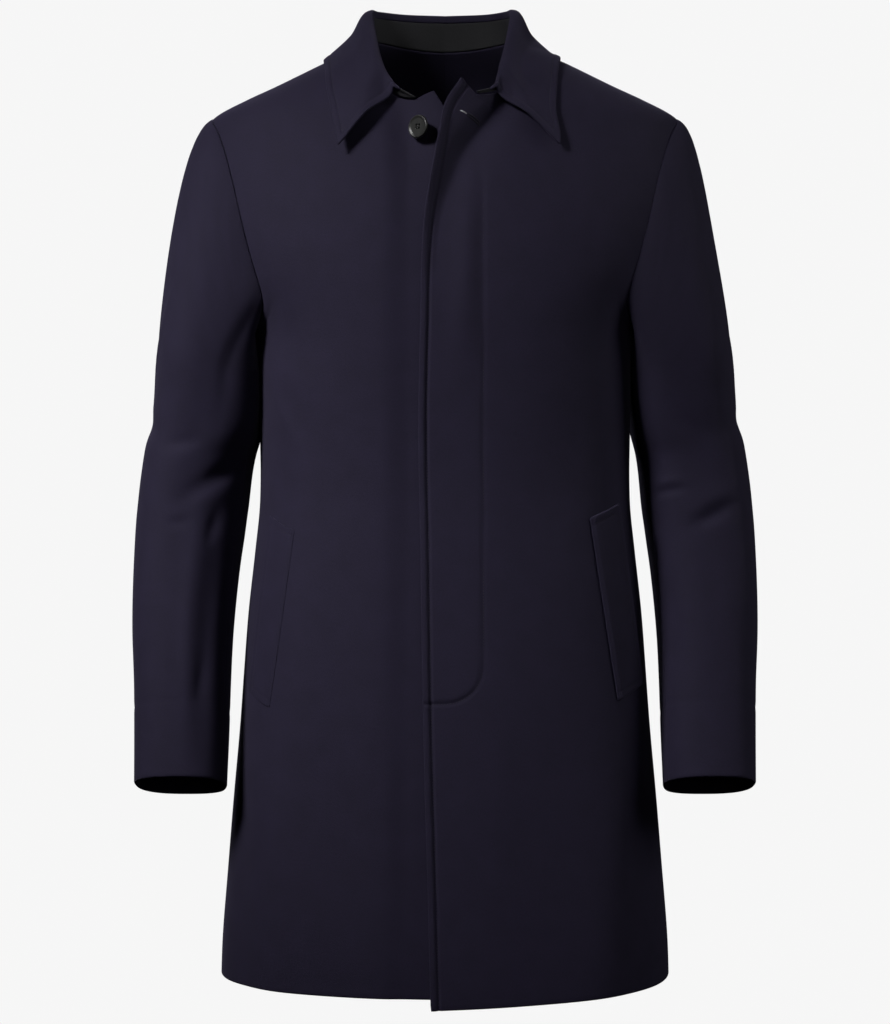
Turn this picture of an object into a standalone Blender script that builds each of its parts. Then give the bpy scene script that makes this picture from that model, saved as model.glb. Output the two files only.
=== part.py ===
"""Single-breasted wool coat with a fly front and a shirt collar, hollow, in the pose of a worn coat.

Metres, +Z up. The front faces -Y and the wearer's left is +X. The origin is the middle of the neck
opening, level with the middle of the shoulder slope, where the wearer's shoulders carry the coat.
Every cloth piece is an open surface computed from the tables below and thickened inwards.
"""

import math
from collections import namedtuple

import bmesh
import bpy
import numpy as np
from mathutils import Matrix, Vector

# Cloth and seams
CLOTH = 0.0022
SEAM_GAP = 0.0003
SEAM_MARGIN = 0.0030

# Finishes of the pieces
Finish = namedtuple("Finish", "name colour roughness metallic")
NAVY_WOOL = Finish("navy_wool", (0.018, 0.016, 0.030), 0.90, 0.0)
CHARCOAL_CLOTH = Finish("charcoal_cloth", (0.022, 0.022, 0.024), 0.85, 0.0)
HORN_PLASTIC = Finish("horn_plastic", (0.020, 0.020, 0.020), 0.30, 0.0)

# Levels of the body
UNDERARM = -0.266
SHOULDER_TIP = -0.0445
HEM_SIDE = -0.8950
HEM_BACK = -0.8930
HEM_LEFT_FRONT = -0.9090
HEM_RIGHT_FRONT = -0.8990

# Neck opening seen from above, an oval round the neck
NECK_HALF_WIDTH = 0.080
NECK_FRONT = 0.0835
NECK_BACK = 0.0760
NECK_CENTRE = -0.016
NECK_SQUARE_FRONT = 3.2
NECK_SQUARE_BACK = 2.0
COLLAR_END = math.radians(20.0)

# Top corner of each front, where its edge meets the neckline
CORNER_LEFT = (0.0145, -0.0284)
CORNER_RIGHT = (-0.0102, -0.0322)

# Horizontal sections of the body's outer face
BodySection = namedtuple("BodySection", "height half_width front back squareness")
BODY = (
    BodySection(-0.930, 0.2235, 0.1565, 0.1500, 2.30),
    BodySection(-0.865, 0.2220, 0.1550, 0.1490, 2.30),
    BodySection(-0.790, 0.2165, 0.1520, 0.1465, 2.32),
    BodySection(-0.715, 0.2105, 0.1490, 0.1430, 2.34),
    BodySection(-0.655, 0.2050, 0.1465, 0.1400, 2.36),
    BodySection(-0.595, 0.2002, 0.1435, 0.1355, 2.38),
    BodySection(-0.535, 0.1955, 0.1400, 0.1285, 2.40),
    BodySection(-0.475, 0.1890, 0.1368, 0.1195, 2.40),
    BodySection(-0.430, 0.1845, 0.1345, 0.1150, 2.40),
    BodySection(-0.400, 0.1838, 0.1340, 0.1130, 2.40),
    BodySection(-0.370, 0.1842, 0.1345, 0.1135, 2.40),
    BodySection(-0.320, 0.1856, 0.1365, 0.1190, 2.40),
    BodySection(-0.290, 0.1870, 0.1380, 0.1225, 2.40),
    BodySection(-0.266, 0.1895, 0.1390, 0.1255, 2.40),
    BodySection(-0.240, 0.1975, 0.1395, 0.1280, 2.38),
    BodySection(-0.205, 0.2165, 0.1385, 0.1300, 2.34),
    BodySection(-0.174, 0.2290, 0.1360, 0.1300, 2.30),
    BodySection(-0.144, 0.2375, 0.1320, 0.1280, 2.24),
    BodySection(-0.115, 0.2420, 0.1260, 0.1255, 2.18),
    BodySection(-0.090, 0.2420, 0.1190, 0.1215, 2.14),
    BodySection(-0.066, 0.2385, 0.1105, 0.1155, 2.10),
    BodySection(-0.045, 0.2310, 0.1018, 0.1085, 2.06),
    BodySection(-0.027, 0.1985, 0.0938, 0.1015, 2.03),
    BodySection(-0.015, 0.1725, 0.0880, 0.0960, 2.02),
    BodySection(-0.003, 0.1480, 0.0812, 0.0890, 2.00),
    BodySection(0.009, 0.1235, 0.0735, 0.0800, 2.00),
    BodySection(0.020, 0.1000, 0.0650, 0.0705, 2.00),
    BodySection(0.032, 0.0800, 0.0560, 0.0600, 2.00),
    BodySection(0.060, 0.0600, 0.0400, 0.0430, 2.00),
)

# Edge of the left front, which lies on top, by height
FrontEdge = namedtuple("FrontEdge", "height across")
LEFT_EDGE = (
    FrontEdge(-0.930, -0.0130),
    FrontEdge(-0.804, -0.0161),
    FrontEdge(-0.672, -0.0199),
    FrontEdge(-0.576, -0.0218),
    FrontEdge(-0.483, -0.0231),
    FrontEdge(-0.338, -0.0252),
    FrontEdge(-0.248, -0.0233),
    FrontEdge(-0.195, -0.0222),
    FrontEdge(-0.149, -0.0188),
    FrontEdge(-0.112, -0.0124),
    FrontEdge(-0.075, -0.0051),
    FrontEdge(-0.050, 0.0010),
    FrontEdge(-0.0284, 0.0145),
)

# Edge of the right front, hidden below the crossing
RIGHT_EDGE = (
    FrontEdge(-0.930, 0.0240),
    FrontEdge(-0.195, 0.0220),
    FrontEdge(-0.112, 0.0150),
    FrontEdge(-0.0655, 0.0045),
    FrontEdge(-0.0500, 0.0000),
    FrontEdge(-0.0322, -0.0102),
)

# Side view of the armhole
ARMHOLE_WIDEST = -0.200
ARMHOLE_FRONT = 0.0850
ARMHOLE_BACK = 0.0790
ARMHOLE_ROUND_ABOVE = 2.0
ARMHOLE_ROUND_BELOW = 2.5

# Rings of the left sleeve below the armhole, from the biceps to the cuff
SleeveRing = namedtuple("SleeveRing", "along centre_x centre_y centre_z half_width half_depth")
SLEEVE = (
    SleeveRing(0.00, 0.2318, 0.006, -0.290, 0.0552, 0.0840),
    SleeveRing(0.10, 0.2350, 0.010, -0.332, 0.0555, 0.0810),
    SleeveRing(0.19, 0.2440, 0.013, -0.370, 0.0542, 0.0780),
    SleeveRing(0.33, 0.2515, 0.009, -0.430, 0.0548, 0.0745),
    SleeveRing(0.48, 0.2570, -0.001, -0.490, 0.0525, 0.0710),
    SleeveRing(0.62, 0.2595, -0.014, -0.550, 0.0502, 0.0680),
    SleeveRing(0.77, 0.2588, -0.027, -0.610, 0.0478, 0.0652),
    SleeveRing(0.89, 0.2582, -0.038, -0.660, 0.0470, 0.0635),
    SleeveRing(1.00, 0.2582, -0.049, -0.706, 0.0460, 0.0622),
)
CAP_SHARE = 0.32
CAP_START_PULL = 0.40
CAP_END_PULL = 0.85
ARM_CLEARANCE = 0.0032
PRESS_SOFTNESS = 0.0060
ARMHOLE_GAP = 0.0005
ARMHOLE_LOW_GAP = 0.0030
ARMHOLE_TIGHT = math.radians(50.0)
ARMHOLE_LOOSE = math.radians(120.0)
SLEEVE_GAP = 0.0007

# Seams of the sleeve as turns round it in degrees: 0 outwards, 90 forwards, 180 to the body
SleeveSeam = namedtuple("SleeveSeam", "along hind fore")
SEAMS = (
    SleeveSeam(0.00, -62.0, 142.0),
    SleeveSeam(0.16, -28.0, 147.0),
    SleeveSeam(0.32, 8.0, 151.0),
    SleeveSeam(0.45, 20.0, 153.0),
    SleeveSeam(0.60, 20.0, 153.0),
    SleeveSeam(0.80, 10.0, 151.0),
    SleeveSeam(1.00, 6.0, 150.0),
)

# Largest folds of the sleeves: turn in degrees, slant from level in degrees, depth outwards
SleeveFold = namedtuple("SleeveFold", "side turn height slant half_length half_width depth")
SLEEVE_FOLDS = (
    SleeveFold("right", 118.0, -0.394, 36.0, 0.042, 0.0095, -0.0080),
    SleeveFold("right", 96.0, -0.368, 28.0, 0.050, 0.0160, 0.0040),
    SleeveFold("right", 108.0, -0.432, 20.0, 0.045, 0.0160, 0.0040),
    SleeveFold("right", 20.0, -0.352, -12.0, 0.040, 0.0120, -0.0032),
    SleeveFold("left", 55.0, -0.440, 24.0, 0.036, 0.0090, -0.0045),
    SleeveFold("left", 120.0, -0.414, 10.0, 0.030, 0.0085, -0.0045),
    SleeveFold("left", 112.0, -0.398, 8.0, 0.034, 0.0110, 0.0038),
    SleeveFold("left", 20.0, -0.348, -12.0, 0.040, 0.0120, -0.0030),
)

# Sections of the collar's left half by turn round the neck: fold at the top, edge of the leaf on the body
CollarSection = namedtuple("CollarSection", "turn roll_x roll_y roll_z edge_x edge_z lift bulge face")
LeafCorner = namedtuple("LeafCorner", "turn x y z")
COLLAR = (
    CollarSection(20.0, 0.0507, -0.1000, -0.0260, 0.1080, -0.0850, 0.0090, 0.003, 1),
    CollarSection(35.0, 0.0550, -0.0890, -0.0145, 0.1100, -0.0640, 0.0085, 0.003, 1),
    CollarSection(50.0, 0.0612, -0.0705, 0.0040, 0.1120, -0.0420, 0.0075, 0.002, 1),
    CollarSection(75.0, 0.0690, -0.0320, 0.0405, 0.1150, -0.0090, 0.0060, 0.001, 1),
    CollarSection(97.0, 0.0725, 0.0010, 0.0640, 0.1170, 0.0115, 0.0060, 0.000, 1),
    CollarSection(118.0, 0.0668, 0.0290, 0.0685, 0.1030, 0.0090, 0.0065, 0.002, -1),
    CollarSection(148.0, 0.0400, 0.0540, 0.0700, 0.0600, 0.0068, 0.0070, 0.004, -1),
    CollarSection(180.0, 0.0000, 0.0620, 0.0700, 0.0000, 0.0060, 0.0075, 0.005, -1),
)
STAND_GAP = 0.0014
STAND_LIFT = 0.0024
STAND_LEAN = 0.0012
ROLL_WIDTH = 0.0065
LEAF_CLEARANCE = 0.0042
RIGHT_POINT_IN = 0.010
RIGHT_POINT_LIFT = 0.006
RIGHT_POINT_BULGE = 0.0040

# Pocket welts: line of the sewn edge on the front, width round the body, rise towards the side
Welt = namedtuple("Welt", "side top_x top_z bottom_x bottom_z width rise")
WELTS = (
    Welt("left", 0.1398, -0.4437, 0.1660, -0.6177, 0.040, 0.014),
    Welt("right", 0.1455, -0.4550, 0.1690, -0.6255, 0.040, 0.014),
)
WELT_THICK = 0.0030
WELT_SEAT = 0.0009

# Button at the neck of the right front
BUTTON_PLACE = (-0.0192, -0.0686)
BUTTON_RADIUS = 0.0115
BUTTON_THICK = 0.0038
BUTTON_RIM = 0.0017
BUTTON_DISH = 0.0009
BUTTON_HOLE = 0.0010
BUTTON_HOLE_PITCH = 0.0021
BUTTON_SHANK = 0.0026
BUTTON_SHANK_LENGTH = 0.0078
BUTTON_TURN = math.radians(38.0)
BUTTON_RISE = math.radians(5.0)
BUTTON_SIDES = 28
BUTTON_HOLE_SIDES = 12

# Number of rows and columns of each grid
FRONT_COLUMNS = 11
FRONT_LOWER_ROWS = 13
FRONT_UPPER_ROWS = 9
FRONT_NECK_ROWS = 6
BACK_COLUMNS = 9
BACK_LOWER_ROWS = 10
BACK_UPPER_ROWS = 10
BACK_NECK_ROWS = 4
SLEEVE_CAP_ROWS = 9
SLEEVE_ROWS = 19
TOP_SLEEVE_COLUMNS = 9
UNDER_SLEEVE_COLUMNS = 14
COLLAR_COLUMNS = 35
LEAF_ROWS = 8
STAND_ROWS = 3


def clear_scene():
    """Removes every object that the scene starts with."""
    for item in list(bpy.data.objects):
        bpy.data.objects.remove(item)


def hermite(start, start_pull, end, end_pull, share):
    """Cubic curve between two values with the given pulls at its ends."""
    rest = 1.0 - share
    return (
        (1.0 + 2.0 * share) * rest**2 * start
        + share * rest**2 * start_pull
        + share**2 * (3.0 - 2.0 * share) * end
        - share**2 * rest * end_pull
    )


def follow(table, key, column, at):
    """One column of a table at the given keys, on a smooth curve through the rows."""
    keys = np.array([getattr(row, key) for row in table])
    values = np.array([getattr(row, column) for row in table])
    slopes = np.gradient(values, keys)
    at = np.clip(at, keys[0], keys[-1])
    low = np.clip(np.searchsorted(keys, at) - 1, 0, len(keys) - 2)
    step = keys[low + 1] - keys[low]
    share = (at - keys[low]) / step
    return hermite(values[low], slopes[low] * step, values[low + 1], slopes[low + 1] * step, share)


def follow_point(table, key, columns, at):
    """Point whose three coordinates are columns of a table."""
    return np.stack([follow(table, key, column, at) for column in columns], axis=-1)


def unit(vectors):
    """Vectors scaled to length one."""
    return vectors / np.linalg.norm(vectors, axis=-1, keepdims=True)


def smooth_step(start, end, at):
    """Rises softly from 0 at start to 1 at end."""
    share = np.clip((at - start) / (end - start), 0.0, 1.0)
    return share**2 * (3.0 - 2.0 * share)


def bell(offset, half_width):
    """Soft bump of height one."""
    return np.exp(-((offset / half_width) ** 2))


def body_point(angle, height):
    """Point of the body's left half: angle 0 at the side, +90 degrees at the front, -90 at the back."""
    half_width = follow(BODY, "height", "half_width", height)
    front = follow(BODY, "height", "front", height)
    back = follow(BODY, "height", "back", height)
    power = follow(BODY, "height", "squareness", height)
    size = (np.abs(np.cos(angle)) ** power + np.abs(np.sin(angle)) ** power) ** (-1.0 / power)
    depth = np.where(np.sin(angle) >= 0.0, front, back)
    return np.stack(
        [half_width * np.cos(angle) * size, -depth * np.sin(angle) * size, height + 0.0 * angle], axis=-1
    )


def body_normal(angle, height):
    """Direction out of the body's face."""
    step = 0.0005
    across = body_point(angle + step, height) - body_point(angle - step, height)
    up = body_point(angle, height + step) - body_point(angle, height - step)
    return unit(np.cross(up, across))


def raised_point(angle, height, lift):
    """Point that stands off the body's face by the lift."""
    return body_point(angle, height) + body_normal(angle, height) * lift[..., None]


def angle_at_x(across, height, face=1):
    """Angle of the body's point at a distance from the middle; face is 1 in front and -1 behind."""
    power = follow(BODY, "height", "squareness", height)
    share = np.clip(across / follow(BODY, "height", "half_width", height), -1.0, 1.0)
    return face * np.arctan2((1.0 - np.abs(share) ** power) ** (1.0 / power), share)


def angle_at_y(depth, height):
    """Angle of the body's point at a depth, negative depths in front."""
    power = follow(BODY, "height", "squareness", height)
    column = np.where(
        depth <= 0.0, follow(BODY, "height", "front", height), follow(BODY, "height", "back", height)
    )
    share = np.clip(np.abs(depth) / column, 0.0, 1.0)
    return -np.sign(depth) * np.arctan2(share, (1.0 - share**power) ** (1.0 / power))


def body_width_at(depth, height):
    """Distance from the middle to the body's side at a depth."""
    return body_point(angle_at_y(depth, height), height)[..., 0]


def armhole(turn):
    """Angle and height of the armhole: turn 0 at the shoulder tip, a quarter in front, a half below."""
    power = np.where(np.cos(turn) >= 0.0, ARMHOLE_ROUND_ABOVE, ARMHOLE_ROUND_BELOW)
    size = (np.abs(np.cos(turn)) ** power + np.abs(np.sin(turn)) ** power) ** (-1.0 / power)
    reach = np.where(np.cos(turn) >= 0.0, SHOULDER_TIP - ARMHOLE_WIDEST, ARMHOLE_WIDEST - UNDERARM)
    width = np.where(np.sin(turn) >= 0.0, ARMHOLE_FRONT, ARMHOLE_BACK)
    height = ARMHOLE_WIDEST + reach * np.cos(turn) * size
    return angle_at_y(-width * np.sin(turn) * size, height), height


def neckline(turn):
    """Angle and height of the neckline: turn 0 in the middle of the front, half a turn at the back."""
    power = np.where(np.cos(turn) >= 0.0, NECK_SQUARE_FRONT, NECK_SQUARE_BACK)
    size = (np.abs(np.cos(turn)) ** power + np.abs(np.sin(turn)) ** power) ** (-1.0 / power)
    across = NECK_HALF_WIDTH * np.sin(turn) * size
    depth = NECK_CENTRE - np.where(np.cos(turn) >= 0.0, NECK_FRONT, NECK_BACK) * np.cos(turn) * size
    low = np.full(np.shape(turn), -0.10)
    high = np.full(np.shape(turn), 0.059)
    for _ in range(40):
        middle = 0.5 * (low + high)
        inside = np.abs(across) < body_width_at(depth, middle)
        column = np.where(
            depth <= 0.0, follow(BODY, "height", "front", middle), follow(BODY, "height", "back", middle)
        )
        inside = inside & (np.abs(depth) < column)
        low = np.where(inside, middle, low)
        high = np.where(inside, high, middle)
    return angle_at_y(depth, low), low


def neck_point_turn():
    """Turn round the neck at which the neckline meets the shoulder seam."""
    return math.acos(NECK_CENTRE / NECK_BACK)


def resample(angles, heights, shares):
    """Points of a curve on the body at shares of its length."""
    points = body_point(angles, heights)
    lengths = np.concatenate([[0.0], np.cumsum(np.linalg.norm(np.diff(points, axis=0), axis=1))])
    at = shares * lengths[-1]
    return np.interp(at, lengths, angles), np.interp(at, lengths, heights)


def curve_share(angles, heights, index):
    """Share of a curve's length at one of its points."""
    points = body_point(angles, heights)
    lengths = np.concatenate([[0.0], np.cumsum(np.linalg.norm(np.diff(points, axis=0), axis=1))])
    return lengths[index] / lengths[-1]


def seam_shares(count, length, start_gap, end_gap):
    """Even shares of a length with a narrow margin at each end, kept clear of both ends by the gaps."""
    inner = np.linspace(0.0, 1.0, count)[1:-1]
    margin = SEAM_MARGIN / length
    start = start_gap / length
    end = 1.0 - end_gap / length
    return np.concatenate([[start, start + margin], inner, [end - margin, end]])


def panel_angles(outer, inner, columns, middle_gap=SEAM_GAP / 2):
    """Angles and heights of a panel whose rows run from the side or armhole to the middle."""
    fine = np.linspace(0.0, 1.0, 65)
    rows = []
    for row in range(len(outer[0])):
        angles = outer[0][row] + fine * (inner[0][row] - outer[0][row])
        heights = outer[1][row] + fine * (inner[1][row] - outer[1][row])
        length = np.sum(np.linalg.norm(np.diff(body_point(angles, heights), axis=0), axis=1))
        rows.append(resample(angles, heights, seam_shares(columns, length, SEAM_GAP / 2, middle_gap)))
    return np.stack([row[0] for row in rows]), np.stack([row[1] for row in rows])


def upper_shares(corner_share, collar_share, rows, neck_rows):
    """Row shares from the underarm to the shoulder seam, with rows on the corner and the collar's end."""
    below = np.linspace(0.0, corner_share, rows + 1)
    above = np.linspace(collar_share, 1.0, neck_rows + 1)
    above = above if collar_share > corner_share else above[1:]
    return np.concatenate([below, above[:-1], [1.0 - SEAM_MARGIN * 3.0, 1.0 - SEAM_GAP * 2.0]])


def front_rows(edge, corner, hem):
    """Both ends of each row of a front: side seam and armhole, then edge and neckline."""
    lower = np.linspace(0.0, 1.0, FRONT_LOWER_ROWS + 1)[:-1]
    side_heights = HEM_SIDE + lower * (UNDERARM - HEM_SIDE)
    edge_heights = hem + lower * (UNDERARM - hem)
    edge_angles = angle_at_x(follow(edge, "height", "across", edge_heights), edge_heights)
    rise = np.linspace(UNDERARM, corner[1], 60)
    rise_angles = angle_at_x(follow(edge, "height", "across", rise), rise)
    neck_angles, neck_heights = neckline(np.linspace(COLLAR_END, neck_point_turn(), 60))
    inner_angles = np.concatenate([rise_angles, neck_angles])
    inner_heights = np.concatenate([rise, neck_heights])
    corner_share = curve_share(inner_angles, inner_heights, 59)
    collar_share = curve_share(inner_angles, inner_heights, 60)
    shares = upper_shares(corner_share, collar_share, FRONT_UPPER_ROWS, FRONT_NECK_ROWS)
    inner = resample(inner_angles, inner_heights, shares)
    outer = resample(*armhole(np.linspace(math.pi, 0.0, 120)), shares)
    return (
        (np.concatenate([0.0 * lower, outer[0]]), np.concatenate([side_heights, outer[1]])),
        (np.concatenate([edge_angles, inner[0]]), np.concatenate([edge_heights, inner[1]])),
    )


def back_rows():
    """Both ends of each row of a back: side seam and armhole, then centre-back seam and neckline."""
    lower = np.linspace(0.0, 1.0, BACK_LOWER_ROWS + 1)[:-1]
    side_heights = HEM_SIDE + lower * (UNDERARM - HEM_SIDE)
    middle_heights = HEM_BACK + lower * (UNDERARM - HEM_BACK)
    neck_angles, neck_heights = neckline(np.linspace(math.pi, neck_point_turn(), 60))
    rise = np.linspace(UNDERARM, neck_heights[0], 60)
    inner_angles = np.concatenate([np.full(60, -math.pi / 2.0), neck_angles])
    inner_heights = np.concatenate([rise, neck_heights])
    corner_share = curve_share(inner_angles, inner_heights, 59)
    shares = upper_shares(corner_share, corner_share, BACK_UPPER_ROWS, BACK_NECK_ROWS)
    inner = resample(inner_angles, inner_heights, shares)
    outer = resample(*armhole(np.linspace(-math.pi, 0.0, 120)), shares)
    return (
        (np.concatenate([0.0 * lower, outer[0]]), np.concatenate([side_heights, outer[1]])),
        (
            np.concatenate([np.full(len(lower), -math.pi / 2.0), inner[0]]),
            np.concatenate([middle_heights, inner[1]]),
        ),
    )


def left_lift(angles, heights):
    """How far the left front stands off the body: its top corner rolls outwards beside a hollow."""
    across = body_point(angles, heights)[..., 0]
    from_edge = across - follow(LEFT_EDGE, "height", "across", heights)
    opening = smooth_step(-0.190, -0.045, heights)
    roll = 0.0110 * opening * bell(from_edge, 0.026)
    hollow = -0.0035 * opening * bell(from_edge - 0.040, 0.016)
    fly_ridge = 0.0020 * bell(heights + 0.235, 0.070) * bell(from_edge - 0.040, 0.014)
    return roll + hollow + fly_ridge


def right_lift(angles, heights):
    """How far the right front stands off the body: it dips under the left one and rolls out at the top."""
    across = -body_point(angles, heights)[..., 0]
    from_edge = follow(RIGHT_EDGE, "height", "across", heights) - across
    dip = smooth_step(-0.062, -0.034, across)
    opening = smooth_step(-0.150, -0.045, heights)
    roll = 0.0070 * opening * bell(from_edge, 0.026)
    hollow = -0.0032 * opening * bell(from_edge - 0.046, 0.018)
    return roll + hollow - (CLOTH + 0.0012) * dip


def make_material(name, finish):
    """Plain material of one piece."""
    material = bpy.data.materials.new(f"{name}_{finish.name}")
    material.use_nodes = True
    shader = material.node_tree.nodes["Principled BSDF"]
    shader.inputs["Base Color"].default_value = (*finish.colour, 1.0)
    shader.inputs["Roughness"].default_value = finish.roughness
    shader.inputs["Metallic"].default_value = finish.metallic
    return material


def make_mesh(name, points, flip):
    """Open surface through a grid of points, rows by columns.

    Its faces point to the left of the rows, or to the right where flip is set.
    """
    rows, columns = points.shape[:2]
    mesh = bpy.data.meshes.new(name)
    grid = bmesh.new()
    bmesh.ops.create_grid(grid, x_segments=columns - 1, y_segments=rows - 1, size=0.5)
    grid.verts.ensure_lookup_table()
    for vertex, point in zip(grid.verts, points.reshape(-1, 3)):
        vertex.co = point
    if flip:
        bmesh.ops.reverse_faces(grid, faces=grid.faces)
    grid.to_mesh(mesh)
    grid.free()
    return mesh


def add_cloth(name, points, flip, finish, thick=CLOTH):
    """Cloth piece: an open surface thickened inwards."""
    item = bpy.data.objects.new(name, make_mesh(name, points, flip))
    coat.objects.link(item)
    item.data.materials.append(make_material(name, finish))
    wall = item.modifiers.new("wall", "SOLIDIFY")
    wall.thickness = thick
    wall.offset = -1.0
    wall.use_even_offset = False
    return item


def mirrored(points):
    """The same points on the other side of the body."""
    return points * np.array([-1.0, 1.0, 1.0])


def add_body():
    """Two fronts and two backs."""
    outer, inner = front_rows(LEFT_EDGE, CORNER_LEFT, HEM_LEFT_FRONT)
    angles, heights = panel_angles(outer, inner, FRONT_COLUMNS)
    points = raised_point(angles, heights, left_lift(angles, heights))
    add_cloth("front_left", points, True, NAVY_WOOL)

    right_edge = [row._replace(across=-row.across) for row in RIGHT_EDGE]
    corner = (-CORNER_RIGHT[0], CORNER_RIGHT[1])
    outer, inner = front_rows(right_edge, corner, HEM_RIGHT_FRONT)
    angles, heights = panel_angles(outer, inner, FRONT_COLUMNS)
    points = raised_point(angles, heights, right_lift(angles, heights))
    add_cloth("front_right", mirrored(points), False, NAVY_WOOL)

    angles, heights = panel_angles(*back_rows(), BACK_COLUMNS, SEAM_GAP * 2.0)
    points = body_point(angles, heights)
    add_cloth("back_left", points, False, NAVY_WOOL)
    add_cloth("back_right", mirrored(points), True, NAVY_WOOL)


def ring_frame(along):
    """Centre, outward and forward directions of the left sleeve's rings."""
    step = 0.01
    axes = ("centre_x", "centre_y", "centre_z")
    centre = follow_point(SLEEVE, "along", axes, along)
    ahead = follow_point(SLEEVE, "along", axes, np.minimum(along + step, 1.0))
    behind = follow_point(SLEEVE, "along", axes, np.maximum(along - step, 0.0))
    down = unit(ahead - behind)
    sideways = np.array([1.0, 0.0, 0.0]) + 0.0 * down
    outward = unit(sideways - down * np.sum(sideways * down, axis=-1, keepdims=True))
    forward = np.cross(down, outward)
    return centre, outward, forward


def pressed(points, clearance):
    """Points moved out where they would come closer to the body's side than the clearance."""
    clear = body_width_at(points[..., 1], points[..., 2]) + clearance
    across = points[..., 0]
    moved = 0.5 * (across + clear + np.sqrt((across - clear) ** 2 + PRESS_SOFTNESS**2))
    return np.concatenate([moved[..., None], points[..., 1:]], axis=-1)


def tube_point(turn, along):
    """Point of the left sleeve below the armhole, pressed flat where it lies on the body."""
    centre, outward, forward = ring_frame(along)
    width = follow(SLEEVE, "along", "half_width", along) * np.cos(turn)
    depth = follow(SLEEVE, "along", "half_depth", along) * np.sin(turn)
    points = centre + width[..., None] * outward + depth[..., None] * forward
    return pressed(points, ARM_CLEARANCE)


def cap_point(turn, share):
    """Point of the left sleeve's head, on curves from the armhole seam to the biceps ring."""
    start = body_point(*armhole(turn))
    end = tube_point(turn, 0.0 * turn)
    leave = unit(
        np.stack([0.78 + 0.18 * np.cos(turn), -0.30 * np.sin(turn), -0.55 + 0.21 * np.cos(turn)], axis=-1)
    )
    arrive = unit(tube_point(turn, 0.0 * turn + 0.04) - end)
    length = np.linalg.norm(end - start, axis=-1, keepdims=True)
    below = smooth_step(math.cos(ARMHOLE_TIGHT), math.cos(ARMHOLE_LOOSE), np.cos(turn))
    start = start + leave * (ARMHOLE_GAP + (ARMHOLE_LOW_GAP - ARMHOLE_GAP) * below)[..., None]
    return hermite(
        start, leave * length * CAP_START_PULL, end, arrive * length * CAP_END_PULL, share[..., None]
    )


def fold_depth(side, turn, points):
    """How far the folds of one sleeve stand out of its smooth form."""
    depth = np.zeros(points.shape[:-1])
    for fold in SLEEVE_FOLDS:
        if fold.side == side:
            around = (turn - math.radians(fold.turn)) * 0.062
            up = points[..., 2] - fold.height
            slant = math.radians(fold.slant)
            along = around * math.cos(slant) + up * math.sin(slant)
            aside = up * math.cos(slant) - around * math.sin(slant)
            depth += fold.depth * bell(along, fold.half_length) * bell(aside, fold.half_width)
    return depth


def sleeve_point(side, turn, along):
    """Point of a sleeve, given as on the left side: along 0 at the armhole, 1 at the cuff."""
    in_cap = along < CAP_SHARE
    cap = cap_point(turn, np.clip(along / CAP_SHARE, 0.0, 1.0))
    tube_along = np.clip((along - CAP_SHARE) / (1.0 - CAP_SHARE), 0.0, 1.0)
    points = np.where(in_cap[..., None], cap, tube_point(turn, tube_along))
    _, outward, forward = ring_frame(tube_along)
    radial = outward * np.cos(turn)[..., None] + forward * np.sin(turn)[..., None]
    points = points + radial * fold_depth(side, turn, points)[..., None]
    free = smooth_step(0.0, 0.3 * CAP_SHARE, along)
    return pressed(points, ARM_CLEARANCE * free - PRESS_SOFTNESS * (1.0 + 4.0 * (1.0 - free)))


def sleeve_grid(side, columns, under):
    """Grid of a top or under sleeve between its two seams."""
    cap = CAP_SHARE * np.linspace(0.0, 1.0, SLEEVE_CAP_ROWS + 1)
    tube = CAP_SHARE + (1.0 - CAP_SHARE) * np.linspace(0.0, 1.0, SLEEVE_ROWS + 1)[1:]
    along = np.insert(np.concatenate([cap, tube]), 1, 0.02 * CAP_SHARE)
    hind = np.radians(follow(SEAMS, "along", "hind", along))
    fore = np.radians(follow(SEAMS, "along", "fore", along))
    first, last = (fore, hind + 2.0 * math.pi) if under else (hind, fore)
    rows = []
    for start, end, share in zip(first, last, along):
        turns = start + (end - start) * np.linspace(0.0, 1.0, 64)
        line = sleeve_point(side, turns, np.full(64, share))
        lengths = np.concatenate([[0.0], np.cumsum(np.linalg.norm(np.diff(line, axis=0), axis=1))])
        at = seam_shares(columns, lengths[-1], SLEEVE_GAP / 2, SLEEVE_GAP / 2) * lengths[-1]
        rows.append(sleeve_point(side, np.interp(at, lengths, turns), np.full(len(at), share)))
    return np.stack(rows)


def add_sleeves():
    """Top and under sleeve of each arm."""
    parts = (("top", TOP_SLEEVE_COLUMNS, False), ("under", UNDER_SLEEVE_COLUMNS, True))
    for side in ("left", "right"):
        for part, columns, under in parts:
            points = sleeve_grid(side, columns, under)
            if side == "right":
                points = mirrored(points)
            add_cloth(f"sleeve_{part}_{side}", points, side == "right", NAVY_WOOL)


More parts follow.
